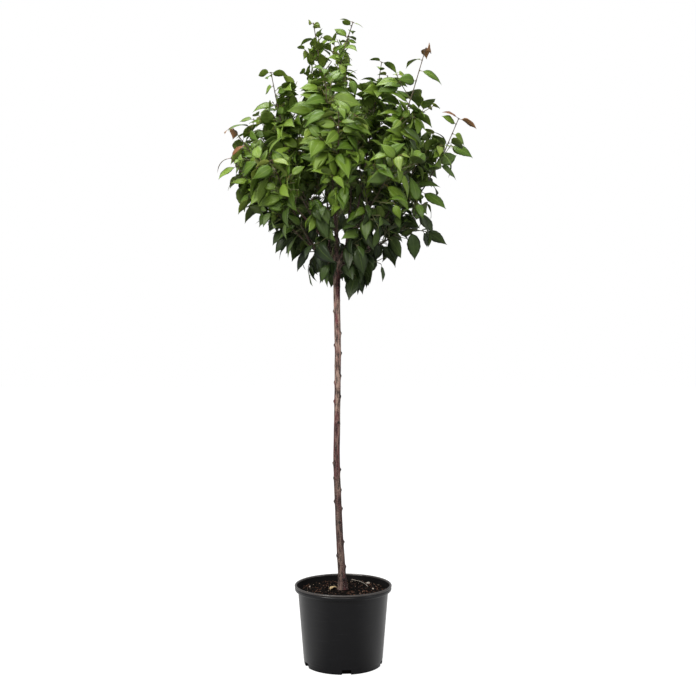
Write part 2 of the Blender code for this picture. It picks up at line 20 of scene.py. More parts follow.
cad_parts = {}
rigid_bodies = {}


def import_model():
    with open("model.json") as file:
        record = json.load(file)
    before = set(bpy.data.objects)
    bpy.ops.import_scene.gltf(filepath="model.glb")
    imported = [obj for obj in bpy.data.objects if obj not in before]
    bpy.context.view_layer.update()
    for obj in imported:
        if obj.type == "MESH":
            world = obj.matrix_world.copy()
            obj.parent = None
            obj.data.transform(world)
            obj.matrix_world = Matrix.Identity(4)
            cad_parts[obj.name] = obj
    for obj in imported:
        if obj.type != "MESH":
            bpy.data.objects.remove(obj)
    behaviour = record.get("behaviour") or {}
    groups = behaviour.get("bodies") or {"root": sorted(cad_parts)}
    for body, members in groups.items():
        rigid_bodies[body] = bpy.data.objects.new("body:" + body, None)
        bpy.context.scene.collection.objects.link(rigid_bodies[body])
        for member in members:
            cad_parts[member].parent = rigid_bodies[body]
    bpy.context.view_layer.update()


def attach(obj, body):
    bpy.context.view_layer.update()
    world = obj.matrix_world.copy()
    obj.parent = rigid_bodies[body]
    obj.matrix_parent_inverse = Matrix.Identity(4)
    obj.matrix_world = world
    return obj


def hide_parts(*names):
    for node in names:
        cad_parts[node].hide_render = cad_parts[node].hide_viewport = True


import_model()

LOG = logging.getLogger("cherry")
UP = Vector((0.0, 0.0, 1.0))
WHITE = (1.0, 1.0, 1.0, 1.0)

Place = tuple[float, float, float]
Span = tuple[float, float]
Face = tuple[int, ...]
Run = tuple[list[Vector], list[float]]
Material = bpy.types.Material
Piece = bpy.types.Object
Socket = bpy.types.NodeSocket


class Slot(Enum):
    """The record's material slots."""

    POT = "pot_plastic"
    COMPOST = "compost"
    BARK = "bark"
    LEAF = "leaf"


class Side(Enum):
    """Which way a bud faces on the stem, as an angle seen from above, in degrees from the right."""

    RIGHT = 0.0
    FRONT = -90.0
    LEFT = 180.0
    BACK = 90.0


class Tint(Enum):
    """The tints of the leaves: shade, deep, green and bright are painted shade and light, the same leaves
    darker or lighter by where they are lit; young and bronze are leaves just opened.
    """

    SHADE = "shade"
    DEEP = "deep"
    GREEN = "green"
    BRIGHT = "bright"
    YOUNG = "young"
    BRONZE = "bronze"


# ---------------------------------------------------------------- shader boards and shared groups


def linear(code: str) -> tuple[float, float, float, float]:
    """A screen colour as the shader's own numbers.

    Args:
        code: six hexadecimal digits, red, green and blue.

    Returns:
        Red, green, blue and an alpha of one.
    """
    shares = [int(code[place : place + 2], 16) / 255 for place in (0, 2, 4)]
    made = [s / 12.92 if s <= 0.04045 else ((s + 0.055) / 1.055) ** 2.4 for s in shares]
    return (made[0], made[1], made[2], 1.0)


def even(waves: float) -> Place:
    """The same scale along all three axes."""
    return (waves, waves, waves)


@dataclass(frozen=True)
class Grain:
    """One use of the uneven grain: waves to the metre, detail, the range shown and its two values."""

    stretch: Place
    detail: float
    shown: Span
    levels: Span = (0.0, 1.0)


@dataclass(frozen=True)
class Dust:
    """One use of the settled dust: waves to the metre, and how thick it lies on a side and on top."""

    stretch: Place
    least: float
    most: float


class Board:
    """A node tree with short ways to place and join its nodes."""

    def __init__(self, tree: bpy.types.NodeTree, effects: "SharedEffects | None" = None) -> None:
        """Args:
        tree: the node tree to work on.
        effects: the shared groups, where the tree uses them.
        """
        self.tree = tree
        self.effects = effects

    def feed(self, source: object, target: Socket) -> None:
        """Joins a socket to an input, or sets the input to a value or a colour's code."""
        if isinstance(source, Socket):
            self.tree.links.new(source, target)
        else:
            target.default_value = linear(source) if isinstance(source, str) else source

    def add(self, kind: str, **values: object) -> bpy.types.Node:
        """Places a node.

        Args:
            kind: the node's type without its "ShaderNode".
            values: its properties, or what its inputs take where it has no such property.

        Returns:
            The node.
        """
        node = self.tree.nodes.new(f"ShaderNode{kind}")
        for name, value in values.items():
            if hasattr(node, name):
                setattr(node, name, value)
            else:
                self.feed(value, node.inputs[name.replace("_", " ")])
        return node

    def place(self) -> Socket:
        """The place on the piece, in metres."""
        return self.add("TexCoord").outputs["Object"]

    def split(self, vector: Socket) -> list[Socket]:
        """The three parts of a vector."""
        return list(self.add("SeparateXYZ", Vector=vector).outputs)

    def maths(self, operation: str, *values: object) -> Socket:
        """A maths node.

        Args:
            operation: its operation.
            values: the sockets or numbers that it takes, in order.

        Returns:
            Its output.
        """
        node = self.add("Math", operation=operation)
        for value, socket in zip(values, node.inputs):
            self.feed(value, socket)
        return node.outputs[0]

    def ranged(self, value: Socket, **ends: object) -> Socket:
        """Maps a value from one range to another, each 0 to 1 unless its ends are given."""
        return self.add("MapRange", Value=value, **ends).outputs["Result"]

    def blend(self, mask: object, first: object, second: object) -> Socket:
        """Mixes two colours.

        Args:
            mask: a socket or a number, none of the second colour at 0 and all of it at 1.
            first: a socket or a colour's code.
            second: a socket or a colour's code.

        Returns:
            The mixed colour.
        """
        node = self.add("Mix", data_type="RGBA")
        sockets = {socket.identifier: socket for socket in (*node.inputs, *node.outputs)}
        for name, value in (("Factor_Float", mask), ("A_Color", first), ("B_Color", second)):
            self.feed(value, sockets[name])
        return sockets["Result_Color"]

    def bump(self, height: Socket, distance: float, strength: float = 1.0) -> Socket:
        """Turns a height from 0 to 1 into a normal, distance being how high 1 is."""
        return self.add("Bump", Height=height, Distance=distance, Strength=strength).outputs["Normal"]

    def group(self, tree: bpy.types.NodeTree, **values: object) -> Socket:
        """Places a shared group.

        Args:
            tree: the group.
            values: its inputs by name, sockets or numbers.

        Returns:
            Its one output.
        """
        node = self.add("Group")
        node.node_tree = tree
        for name, value in values.items():
            self.feed(value, node.inputs[name])
        return node.outputs[0]

    def grain(self, grain: Grain, place: Socket) -> Socket:
        """Places the uneven grain."""
        values = dict(zip(("From", "To", "Low", "High"), grain.shown + grain.levels))
        return self.group(
            self.effects.grain, Vector=place, Stretch=grain.stretch, Detail=grain.detail, **values
        )

    def dust(self, dust: Dust, place: Socket) -> Socket:
        """Places the settled dust."""
        return self.group(
            self.effects.dust, Vector=place, Stretch=dust.stretch, Least=dust.least, Most=dust.most
        )


class SharedEffects:
    """The effects that several finishes use, each one node group."""

    dust_breaks = Grain(even(1.0), 4.0, (0.35, 0.7))
    dust_slope = 0.2
    pore_edge = 0.12

    def __init__(self) -> None:
        """Builds the groups."""
        self.grain = self.build_grain()
        self.pores = self.build_pores()
        self.dust = self.build_dust()

    def start(
        self, name: str, vectors: tuple[str, ...], floats: tuple[str, ...]
    ) -> tuple[Board, bpy.types.bpy_prop_collection, Socket]:
        """Makes an empty group with its sockets.

        Args:
            name: the group's name.
            vectors: the names of its vector inputs.
            floats: the names of its other inputs.

        Returns:
            The board, the sockets that bring the inputs in, and the one that takes the output.
        """
        tree = bpy.data.node_groups.new(name, "ShaderNodeTree")
        for kind, titles in (("Vector", vectors), ("Float", floats)):
            for title in titles:
                tree.interface.new_socket(title, in_out="INPUT", socket_type=f"NodeSocket{kind}")
        tree.interface.new_socket("Value", in_out="OUTPUT", socket_type="NodeSocketFloat")
        given = tree.nodes.new("NodeGroupOutput").inputs[0]
        return Board(tree, self), tree.nodes.new("NodeGroupInput").outputs, given

    def drawn_out(self, board: Board, taken: bpy.types.bpy_prop_collection) -> Socket:
        """The place scaled along each axis, which draws a pattern out."""
        drawn = board.add("VectorMath", operation="MULTIPLY")
        for name, socket in zip(("Vector", "Stretch"), drawn.inputs):
            board.feed(taken[name], socket)
        return drawn.outputs[0]

    def build_grain(self) -> bpy.types.NodeTree:
        """Soft uneven patches, drawn out along any axis, between two values."""
        floats = ("Detail", "From", "To", "Low", "High")
        board, taken, given = self.start("uneven_grain", ("Vector", "Stretch"), floats)
        drawn = self.drawn_out(board, taken)
        patches = board.add("TexNoise", Vector=drawn, Scale=1.0, Detail=taken["Detail"])
        ends = {"From_Min": "From", "From_Max": "To", "To_Min": "Low", "To_Max": "High"}
        ends = {end: taken[name] for end, name in ends.items()}
        board.feed(board.ranged(patches.outputs["Fac"], **ends), given)
        return board.tree

    def build_pores(self) -> bpy.types.NodeTree:
        """Breathing pores: short dashes across a limb, 1 on a pore and 0 between them."""
        board, taken, given = self.start("breathing_pores", ("Vector", "Stretch"), ("Size",))
        cells = board.add("TexVoronoi", feature="F1", Vector=self.drawn_out(board, taken), Scale=1.0)
        beyond = board.maths("SUBTRACT", cells.outputs["Distance"], taken["Size"])
        soft = {"interpolation_type": "SMOOTHSTEP", "From_Max": self.pore_edge}
        board.feed(board.ranged(beyond, To_Min=1.0, To_Max=0.0, **soft), given)
        return board.tree

    def build_dust(self) -> bpy.types.NodeTree:
        """Settled dust: thick on what faces up, broken into patches."""
        board, taken, given = self.start("settled_dust", ("Vector", "Stretch"), ("Least", "Most"))
        facing = board.split(board.add("NewGeometry").outputs["Normal"])[2]
        ends = {"From_Min": self.dust_slope, "To_Min": taken["Least"], "To_Max": taken["Most"]}
        breaks = board.grain(self.dust_breaks, self.drawn_out(board, taken))
        board.feed(board.maths("MULTIPLY", board.ranged(facing, **ends), breaks), given)
        return board.tree


# ---------------------------------------------------------------- finishes


@dataclass(frozen=True)
class Finish:
    """What every finish shares: its name, and a material with a Principled shader."""

    name: str

    def dress(self, board: Board) -> dict[str, object]:
        """What the shader's inputs take: a socket, a number or a colour's code for each, by name."""
        raise NotImplementedError

    def build(self, effects: SharedEffects) -> Material:
        """Makes the material.

        Args:
            effects: the shared groups.

        Returns:
            The material.
        """
        made = bpy.data.materials.new(self.name)
        made.use_nodes = True
        shader = made.node_tree.nodes["Principled BSDF"]
        board = Board(made.node_tree, effects)
        for title, source in self.dress(board).items():
            board.feed(source, shader.inputs[title])
        return made


@dataclass(frozen=True)
class PlasticFinish(Finish):
    """Black moulded plastic: satin, a little dusty, scuffed outside, with a painted highlight on the lip and
    painted shade inside, where it is dulled.
    """

    name: str = "pot_black_plastic"
    colour: str = "0b0b0f"
    dust: str = "2b2b2c"
    scuff: str = "202023"
    # painted highlight: the lighter colour along the top of the lip
    wear_and_highlight: str = "4c4745"
    # painted shade: the darker colour inside wall and lip
    inside_shade: str = "080606"
    specular: float = 0.2
    coat: float = 0.6
    coat_rough: float = 0.26
    inside_rough: float = 0.85
    dust_rough: float = 0.3
    # painted highlight on the top of the lip: how strong it gets, and the heights over which it fades in
    rim_highlight_most: float = 0.8
    rim: Span = (0.2218, 0.2240)
    inner_foot: float = 0.1117
    flare: float = 0.0832
    inner_lip: float = 0.1330
    lip_foot: float = 0.2105
    scuffs: Grain = Grain((14.0, 14.0, 420.0), 6.0, (0.60, 0.74), (0.0, 0.55))
    gloss: Grain = Grain(even(9.0), 3.0, (0.35, 0.65), (0.28, 0.38))
    skin: Grain = Grain(even(900.0), 3.0, (0.35, 0.65))
    skin_bump: Span = (0.00004, 0.4)
    settled: Dust = Dust(even(38.0), 0.02, 0.16)

    def inside(self, board: Board, place: Socket) -> Socket:
        """1 on the inside of wall and lip, where shade is painted and the gloss dulled, and 0 elsewhere.

        Args:
            board: the board to work on.
            place: the position on the pot.

        Returns:
            The mask.
        """
        across, deep, height = board.split(place)
        square = board.maths(
            "ADD", board.maths("MULTIPLY", across, across), board.maths("MULTIPLY", deep, deep)
        )
        radius = board.maths("SQRT", square)
        upright = board.maths("SUBTRACT", radius, board.maths("MULTIPLY", height, self.flare))
        in_lip = board.maths("LESS_THAN", radius, self.inner_lip)
        in_lip = board.maths("MULTIPLY", in_lip, board.maths("GREATER_THAN", height, self.lip_foot))
        return board.maths("MAXIMUM", in_lip, board.maths("LESS_THAN", upright, self.inner_foot))

    def dress(self, board: Board) -> dict[str, object]:
        """What the shader's inputs take."""
        place = board.place()
        settled = board.dust(self.settled, place)
        inside = self.inside(board, place)
        # painted highlight: lighter along the top of the lip
        low, high = self.rim
        rim = board.ranged(board.split(place)[2], From_Min=low, From_Max=high, To_Max=self.rim_highlight_most)
        colour = board.blend(board.grain(self.scuffs, place), self.colour, self.scuff)
        colour = board.blend(settled, board.blend(rim, colour, self.wear_and_highlight), self.dust)
        inside_roughness = board.maths("MULTIPLY", inside, self.inside_rough)
        rough = board.maths("MAXIMUM", board.grain(self.gloss, place), inside_roughness)
        return {
            # painted shade inside wall and lip; there it is also rougher and has no coat
            "Base Color": board.blend(inside, colour, self.inside_shade),
            "Roughness": board.maths("ADD", rough, board.maths("MULTIPLY", settled, self.dust_rough)),
            "Normal": board.bump(board.grain(self.skin, place), *self.skin_bump),
            "Coat Weight": board.maths("MULTIPLY", board.maths("SUBTRACT", 1.0, inside), self.coat),
            "Coat Roughness": self.coat_rough,
            "Specular IOR Level": self.specular,
        }


@dataclass(frozen=True)
class CompostFinish(Finish):
    """Moist potting compost: near black, with brown and reddish crumbs."""

    name: str = "compost_dark_crumb"
    dark: str = "040302"
    brown: str = "140e0a"
    red: str = "3c281f"
    share: float = 0.66
    specular: float = 0.12
    crumbs: Grain = Grain(even(260.0), 5.0, (0.40, 0.66))
    gloss: Grain = Grain(even(90.0), 2.0, (0.3, 0.7), (0.72, 0.98))
    bump: Span = (0.0012, 0.8)

    def dress(self, board: Board) -> dict[str, object]:
        """What the shader's inputs take."""
        place = board.place()
        crumbs = board.grain(self.crumbs, place)
        specks = board.grain(Grain(even(520.0), 2.0, (self.share, 0.76), (0.0, 0.9)), place)
        return {
            "Base Color": board.blend(specks, board.blend(crumbs, self.dark, self.brown), self.red),
            "Roughness": board.grain(self.gloss, place),
            "Specular IOR Level": self.specular,
            "Normal": board.bump(crumbs, *self.bump),
        }


@dataclass(frozen=True)
class BarkFinish(Finish):
    """Bark of limbs: streaked along the limb, with pores across it and dark buds and scars."""

    pale: str
    warm: str
    dark: str
    pore: str
    knot: str = "180f0d"
    pore_stretch: Place = (210.0, 210.0, 900.0)
    pore_size: float = 0.16
    pore_share: float = 0.7
    rough: Span = (0.55, 0.85)
    relief: float = 0.0004
    sunk: float = -0.6
    low_shade: float = 0.0
    low_heights: Span = (0.62, 0.18)
    broad: Grain = Grain((80.0, 80.0, 14.0), 3.0, (0.42, 0.58))
    streaks: Grain = Grain((210.0, 210.0, 38.0), 6.0, (0.46, 0.58), (0.0, 0.85))
    rings: Grain = Grain((30.0, 30.0, 380.0), 3.0, (0.58, 0.70), (0.0, 0.6))

    def dress(self, board: Board) -> dict[str, object]:
        """What the shader's inputs take."""
        place = board.add("Attribute", attribute_name="straight").outputs["Vector"]
        knot = board.add("Attribute", attribute_name="knot").outputs["Fac"]
        high, low = self.low_heights
        shade = board.ranged(board.split(place)[2], From_Min=high, From_Max=low, To_Max=self.low_shade)
        streaks, rings = board.grain(self.streaks, place), board.grain(self.rings, place)
        pores = board.group(
            board.effects.pores, Vector=place, Stretch=self.pore_stretch, Size=self.pore_size
        )
        base = board.blend(board.grain(self.broad, place), self.pale, self.warm)
        for darker in (shade, streaks, rings):
            base = board.blend(darker, base, self.dark)
        base = board.blend(board.maths("MULTIPLY", pores, self.pore_share), base, self.pore)
        raised = board.maths("ADD", board.maths("MULTIPLY", streaks, self.sunk), pores)
        return {
            "Base Color": board.blend(knot, base, self.knot),
            "Roughness": board.grain(Grain((150.0, 150.0, 60.0), 3.0, (0.3, 0.7), self.rough), place),
            "Normal": board.bump(board.maths("ADD", raised, rings), self.relief),
        }


@dataclass(frozen=True)
class LeafFinish(Finish):
    """One plain green of a blade, with an uneven gloss and a fine quilted skin."""

    colour: str
    rough: Span = (0.36, 0.52)
    specular: float = 0.38
    relief: float = 0.00022
    skin: Grain = Grain(even(650.0), 1.0, (0.35, 0.65))

    def dress(self, board: Board) -> dict[str, object]:
        """What the shader's inputs take."""
        place = board.place()
        return {
            "Base Color": self.colour,
            "Specular IOR Level": self.specular,
            "Roughness": board.grain(Grain(even(70.0), 2.0, (0.35, 0.65), self.rough), place),
            "Normal": board.bump(board.grain(self.skin, place), self.relief, 0.5),
        }


@dataclass(frozen=True)
class ChipFinish(Finish):
    """Dry bits on the compost: bark, straw and wood, weathered in patches."""

    pale: str
    dark: str
    rough: float = 0.85
    relief: float = 0.0004
    patches: Grain = Grain(even(300.0), 4.0, (0.40, 0.64))
    settled: Dust = Dust(even(200.0), 0.0, 0.35)

    def dress(self, board: Board) -> dict[str, object]:
        """What the shader's inputs take."""
        place = board.place()
        wear_and_highlight = board.grain(self.patches, place)
        colour = board.blend(wear_and_highlight, self.pale, self.dark)
        return {
            "Base Color": board.blend(board.dust(self.settled, place), colour, self.pale),
            "Roughness": self.rough,
            "Normal": board.bump(wear_and_highlight, self.relief),
        }


# ---------------------------------------------------------------- points, runs and distances


def as_rows(points: Iterable[Vector]) -> np.ndarray:
    """Points as the rows of an array."""
    return np.array([tuple(point) for point in points])


def distances(path: np.ndarray) -> np.ndarray:
    """How far along a path each of its points is."""
    return np.concatenate([[0.0], np.cumsum(np.linalg.norm(np.diff(path, axis=0), axis=1))])


def resampled(line: np.ndarray, marks: np.ndarray, places: np.ndarray) -> np.ndarray:
    """A line's points at new places, marks being the places of the points it has."""
    return np.column_stack([np.interp(places, marks, line[:, axis]) for axis in range(3)])


def relaxed(path: np.ndarray, times: int) -> np.ndarray:
    """A path whose corners are eased by averaging with their neighbours."""
    for _ in range(times):
        path[1:-1] = path[1:-1] * 0.5 + (path[:-2] + path[2:]) * 0.25
    return path


def wrapped(angle: np.ndarray) -> np.ndarray:
    """Angles brought to between minus and plus half a turn."""
    return np.angle(np.exp(1j * angle))


def hump(offset: np.ndarray, reach: float) -> np.ndarray:
    """A smooth bell of height 1, by the distance from its middle and its reach."""
    return np.exp(-((offset / reach) ** 2))


def any_side(axis: Vector) -> Vector:
    """A unit vector square to axis, the one that lies most level."""
    side = axis.cross(UP)
    if side.length < 1e-4:
        side = Vector((1.0, 0.0, 0.0))
    return side.normalized()


@dataclass
class Segments:
    """Straight pieces of limb with a radius at each end, and how far points are from them."""

    starts: np.ndarray = field(default_factory=lambda: np.zeros((0, 3)))
    ends: np.ndarray = field(default_factory=lambda: np.zeros((0, 3)))
    radii: np.ndarray = field(default_factory=lambda: np.zeros((0, 2)))

    def add(self, points: list[Vector], radii: list[float]) -> None:
        """Adds the pieces of one run.

        Args:
            points: the run.
            radii: the radius at each point.
        """
        places = as_rows(points)
        girths = np.array(radii, float)
        self.starts = np.vstack([self.starts, places[:-1]])
        self.ends = np.vstack([self.ends, places[1:]])
        self.radii = np.vstack([self.radii, np.column_stack([girths[:-1], girths[1:]])])

    def gap(self, points: np.ndarray) -> np.ndarray:
        """For each point, the distance to the nearest piece's surface."""
        if not len(self.starts):
            return np.full(len(points), 1e9)
        along = self.ends - self.starts
        offset = points[:, None, :] - self.starts[None]
        share = (offset * along).sum(2) / np.maximum((along * along).sum(1), 1e-12)
        share = np.clip(share, 0.0, 1.0)
        nearest = offset - share[..., None] * along
        girth = self.radii[:, 0] + share * (self.radii[:, 1] - self.radii[:, 0])
        return (np.linalg.norm(nearest, axis=2) - girth).min(1)


def nearest_pair(first: np.ndarray, second: np.ndarray) -> float:
    """The least distance between two sets of points."""
    if not len(first) or not len(second):
        return 1e9
    return float(np.linalg.norm(first[:, None, :] - second[None], axis=2).min())


def bent(root: Vector, control: Vector, tip: Vector, t: float) -> Vector:
    """A point on the quadratic curve from root to tip."""
    return root * (1 - t) ** 2 + control * (2 * t * (1 - t)) + tip * t * t


def run_length(points: list[Vector]) -> float:
    """The length of a run of points."""
    return sum((end - start).length for start, end in zip(points[:-1], points[1:]))


def along_run(points: list[Vector], distance: float) -> tuple[Vector, Vector]:
    """The place at a distance along a run of points, and the direction there."""
    for start, end in zip(points[:-1], points[1:]):
        length = (end - start).length
        if distance <= length or end is points[-1]:
            return start.lerp(end, min(1.0, distance / length)), (end - start) / length
        distance -= length
    raise ValueError("a run needs two points")


def sampled(points: list[Vector], step: float) -> np.ndarray:
    """Points along a run of points, no further apart than step."""
    made = []
    for start, end in zip(points[:-1], points[1:]):
        count = max(1, math.ceil((end - start).length / step))
        made += [start.lerp(end, k / count) for k in range(count)]
    return as_rows([*made, points[-1]])


# ---------------------------------------------------------------- meshes


@dataclass
class MeshMaker:
    """Gathers blocks of points and faces and makes one object of them."""

    blocks: list[np.ndarray] = field(default_factory=list)
    faces: list[Face] = field(default_factory=list)
    finishes: list[int] = field(default_factory=list)
    values: dict[str, list[np.ndarray]] = field(default_factory=dict)
    count: int = 0

    def add(
        self, points: np.ndarray, faces: list[Face], finishes: list[int] | int = 0, **values: np.ndarray
    ) -> None:
        """Adds one block.

        Args:
            points: its points.
            faces: its faces, numbered within the block.
            finishes: the finish's number, for each face or for all.
            values: values for each point, by attribute name.
        """
        self.blocks.append(points)
        start = self.count
        self.faces += [tuple(corner + start for corner in face) for face in faces]
        self.finishes += [finishes] * len(faces) if isinstance(finishes, int) else list(finishes)
        for name, numbers in values.items():
            self.values.setdefault(name, []).append(numbers)
        self.count += len(points)

    def build(self, name: str, *finishes: Material) -> Piece:
        """Makes the object.

        Args:
            name: its name.
            finishes: its finishes in order.

        Returns:
            The object, smooth all over.
        """
        mesh = bpy.data.meshes.new(name)
        mesh.from_pydata(np.vstack(self.blocks).tolist(), [], self.faces)
        for finish in finishes:
            mesh.materials.append(finish)
        mesh.polygons.foreach_set("material_index", np.array(self.finishes, dtype=np.int32))
        mesh.shade_smooth()
        for title, blocks in self.values.items():
            numbers = np.concatenate(blocks)
            kind, key = ("FLOAT", "value") if numbers.ndim == 1 else ("FLOAT_VECTOR", "vector")
            layer = mesh.attributes.new(title, kind, "POINT")
            layer.data.foreach_set(key, numbers.astype(np.float32).ravel())
        mesh.update()
        made = bpy.data.objects.new(name, mesh)
        bpy.context.scene.collection.objects.link(made)
        return made


def band(low: int, high: int, sides: int) -> list[Face]:
    """The faces between two rings of points, by the number of each ring's first point."""
    return [(low + k, low + (k + 1) % sides, high + (k + 1) % sides, high + k) for k in range(sides)]


def ring_faces(rings: int, sides: int) -> list[Face]:
    """The faces over rings of points, and over both ends to the two points that follow the rings.

    Args:
        rings: how many rings there are.
        sides: how many points each ring has.

    Returns:
        The faces, which look outwards where the rings turn to the left round their path.
    """
    made: list[Face] = []
    for low in range(0, (rings - 1) * sides, sides):
        made += band(low, low + sides, sides)
    first, last, top = rings * sides, rings * sides + 1, (rings - 1) * sides
    made += [(first, (k + 1) % sides, k) for k in range(sides)]
    return made + [(last, top + k, top + (k + 1) % sides) for k in range(sides)]


def turned_faces(rings: int, sides: int) -> list[Face]:
    """The same faces looking the other way."""
    return [face[:1] + face[:0:-1] for face in ring_faces(rings, sides)]


@dataclass(frozen=True)
class Limbskin:
    """The skin of a limb: rings of points round a path, closed at both ends by a point."""

    path: np.ndarray
    radii: np.ndarray
    sides: int
    first_side: Vector | None = None

    def angles(self) -> np.ndarray:
        """The angle of each point round a ring."""
        return np.arange(self.sides) * math.tau / self.sides

    def points(self, relief: np.ndarray | float = 0.0) -> np.ndarray:
        """Works out the points.

        Args:
            relief: what is added to the radius, for each ring and side.

        Returns:
            The rings' points in order, then the first and the last end's.
        """
        ahead = np.gradient(self.path, axis=0)
        ahead /= np.linalg.norm(ahead, axis=1)[:, None]
        side = np.array(self.first_side or any_side(Vector(ahead[0])))
        sides = []
        for lead in ahead:
            side = side - lead * side.dot(lead)
            side = side / np.linalg.norm(side)
            sides.append(side)
        across = np.array(sides)
        upright = np.cross(ahead, across)
        reach = np.broadcast_to(self.radii[:, None] + relief, (len(self.path), self.sides))[..., None]
        turn = self.angles()[None, :, None]
        skin = self.path[:, None] + (np.cos(turn) * across[:, None] + np.sin(turn) * upright[:, None]) * reach
        first = self.path[0] - ahead[0] * self.radii[0] * 0.3
        last = self.path[-1] + ahead[-1] * self.radii[-1] * 0.6
        return np.vstack([skin.reshape(-1, 3), first, last])

    def straight(self) -> np.ndarray:
        """Each point's place on the limb if it were straight, for patterns that follow it."""
        girth = float(self.radii.mean())
        turn = np.tile(self.angles(), len(self.path))
        along = np.repeat(distances(self.path), self.sides)
        made = np.column_stack([girth * np.cos(turn), girth * np.sin(turn), along])
        return np.vstack([made, [[0.0, 0.0, along[0]], [0.0, 0.0, along[-1]]]])

    def add_to(
        self, maker: MeshMaker, knot: np.ndarray, relief: np.ndarray | float = 0.0, end_knot: float = 0.0
    ) -> None:
        """Adds the skin to a mesh, with what its bark's finish follows.

        Args:
            maker: the mesh.
            knot: how far each ring's points are bud or scar, 0 to 1.
            relief: what is added to the radius, for each ring and side.
            end_knot: how far both ends are bud or scar.
        """
        knots = np.append(knot.ravel(), [end_knot, end_knot])
        maker.add(
            self.points(relief), ring_faces(len(self.path), self.sides), straight=self.straight(), knot=knots
        )


def turned(name: str, profile: list[Span], segments: int) -> Piece:
    """A solid of revolution.

    Args:
        name: its name.
        profile: (radius, height) from one point on the axis to another, the outer side going down.
        segments: how many segments go round.

    Returns:
        The object, closed.
    """
    turn = np.arange(segments) * math.tau / segments
    rings = profile[1:-1]
    points = [[r * math.cos(a), r * math.sin(a), z] for r, z in rings for a in turn]
    points += [[0.0, 0.0, profile[0][1]], [0.0, 0.0, profile[-1][1]]]
    maker = MeshMaker()
    maker.add(np.array(points), turned_faces(len(rings), segments))
    return maker.build(name)


def eased(profile: list[Span], reach: float, steps: int = 3) -> list[Span]:
    """Rounds a profile's inner corners.

    Args:
        profile: its corners.
        reach: how far from each corner the rounding starts, at the most.
        steps: how many pieces each rounding has.

    Returns:
        The rounded profile.
    """
    made = [profile[0]]
    for before, corner, after in zip(profile[:-2], profile[1:-1], profile[2:]):
        middle = Vector(corner)
        ins, outs = Vector(before) - middle, Vector(after) - middle
        start = middle + ins.normalized() * min(reach, ins.length * 0.45)
        finish = middle + outs.normalized() * min(reach, outs.length * 0.45)
        made += [tuple(bent(start, middle, finish, k / steps)) for k in range(steps + 1)]
    return [*made, profile[-1]]


def ball(detail: int) -> tuple[np.ndarray, list[Face]]:
    """The points and faces of a round ball of radius 1."""
    bm = bmesh.new()
    bmesh.ops.create_icosphere(bm, subdivisions=detail, radius=1.0)
    made = as_rows(v.co for v in bm.verts), [tuple(v.index for v in f.verts) for f in bm.faces]
    bm.free()
    return made


# ---------------------------------------------------------------- the plan of the limbs


@dataclass(frozen=True)
class Limb:
    """One limb: a bare bough, then the leading shoot that its leaves grow on."""

    name: str
    parent: str
    at: float
    tip: Place
    launch: float
    bough: float
    radius: float
    twigs: int
    reach: float
    bare: float
    droop: float
    leaf: float
    seed: int
    bronze: bool = False


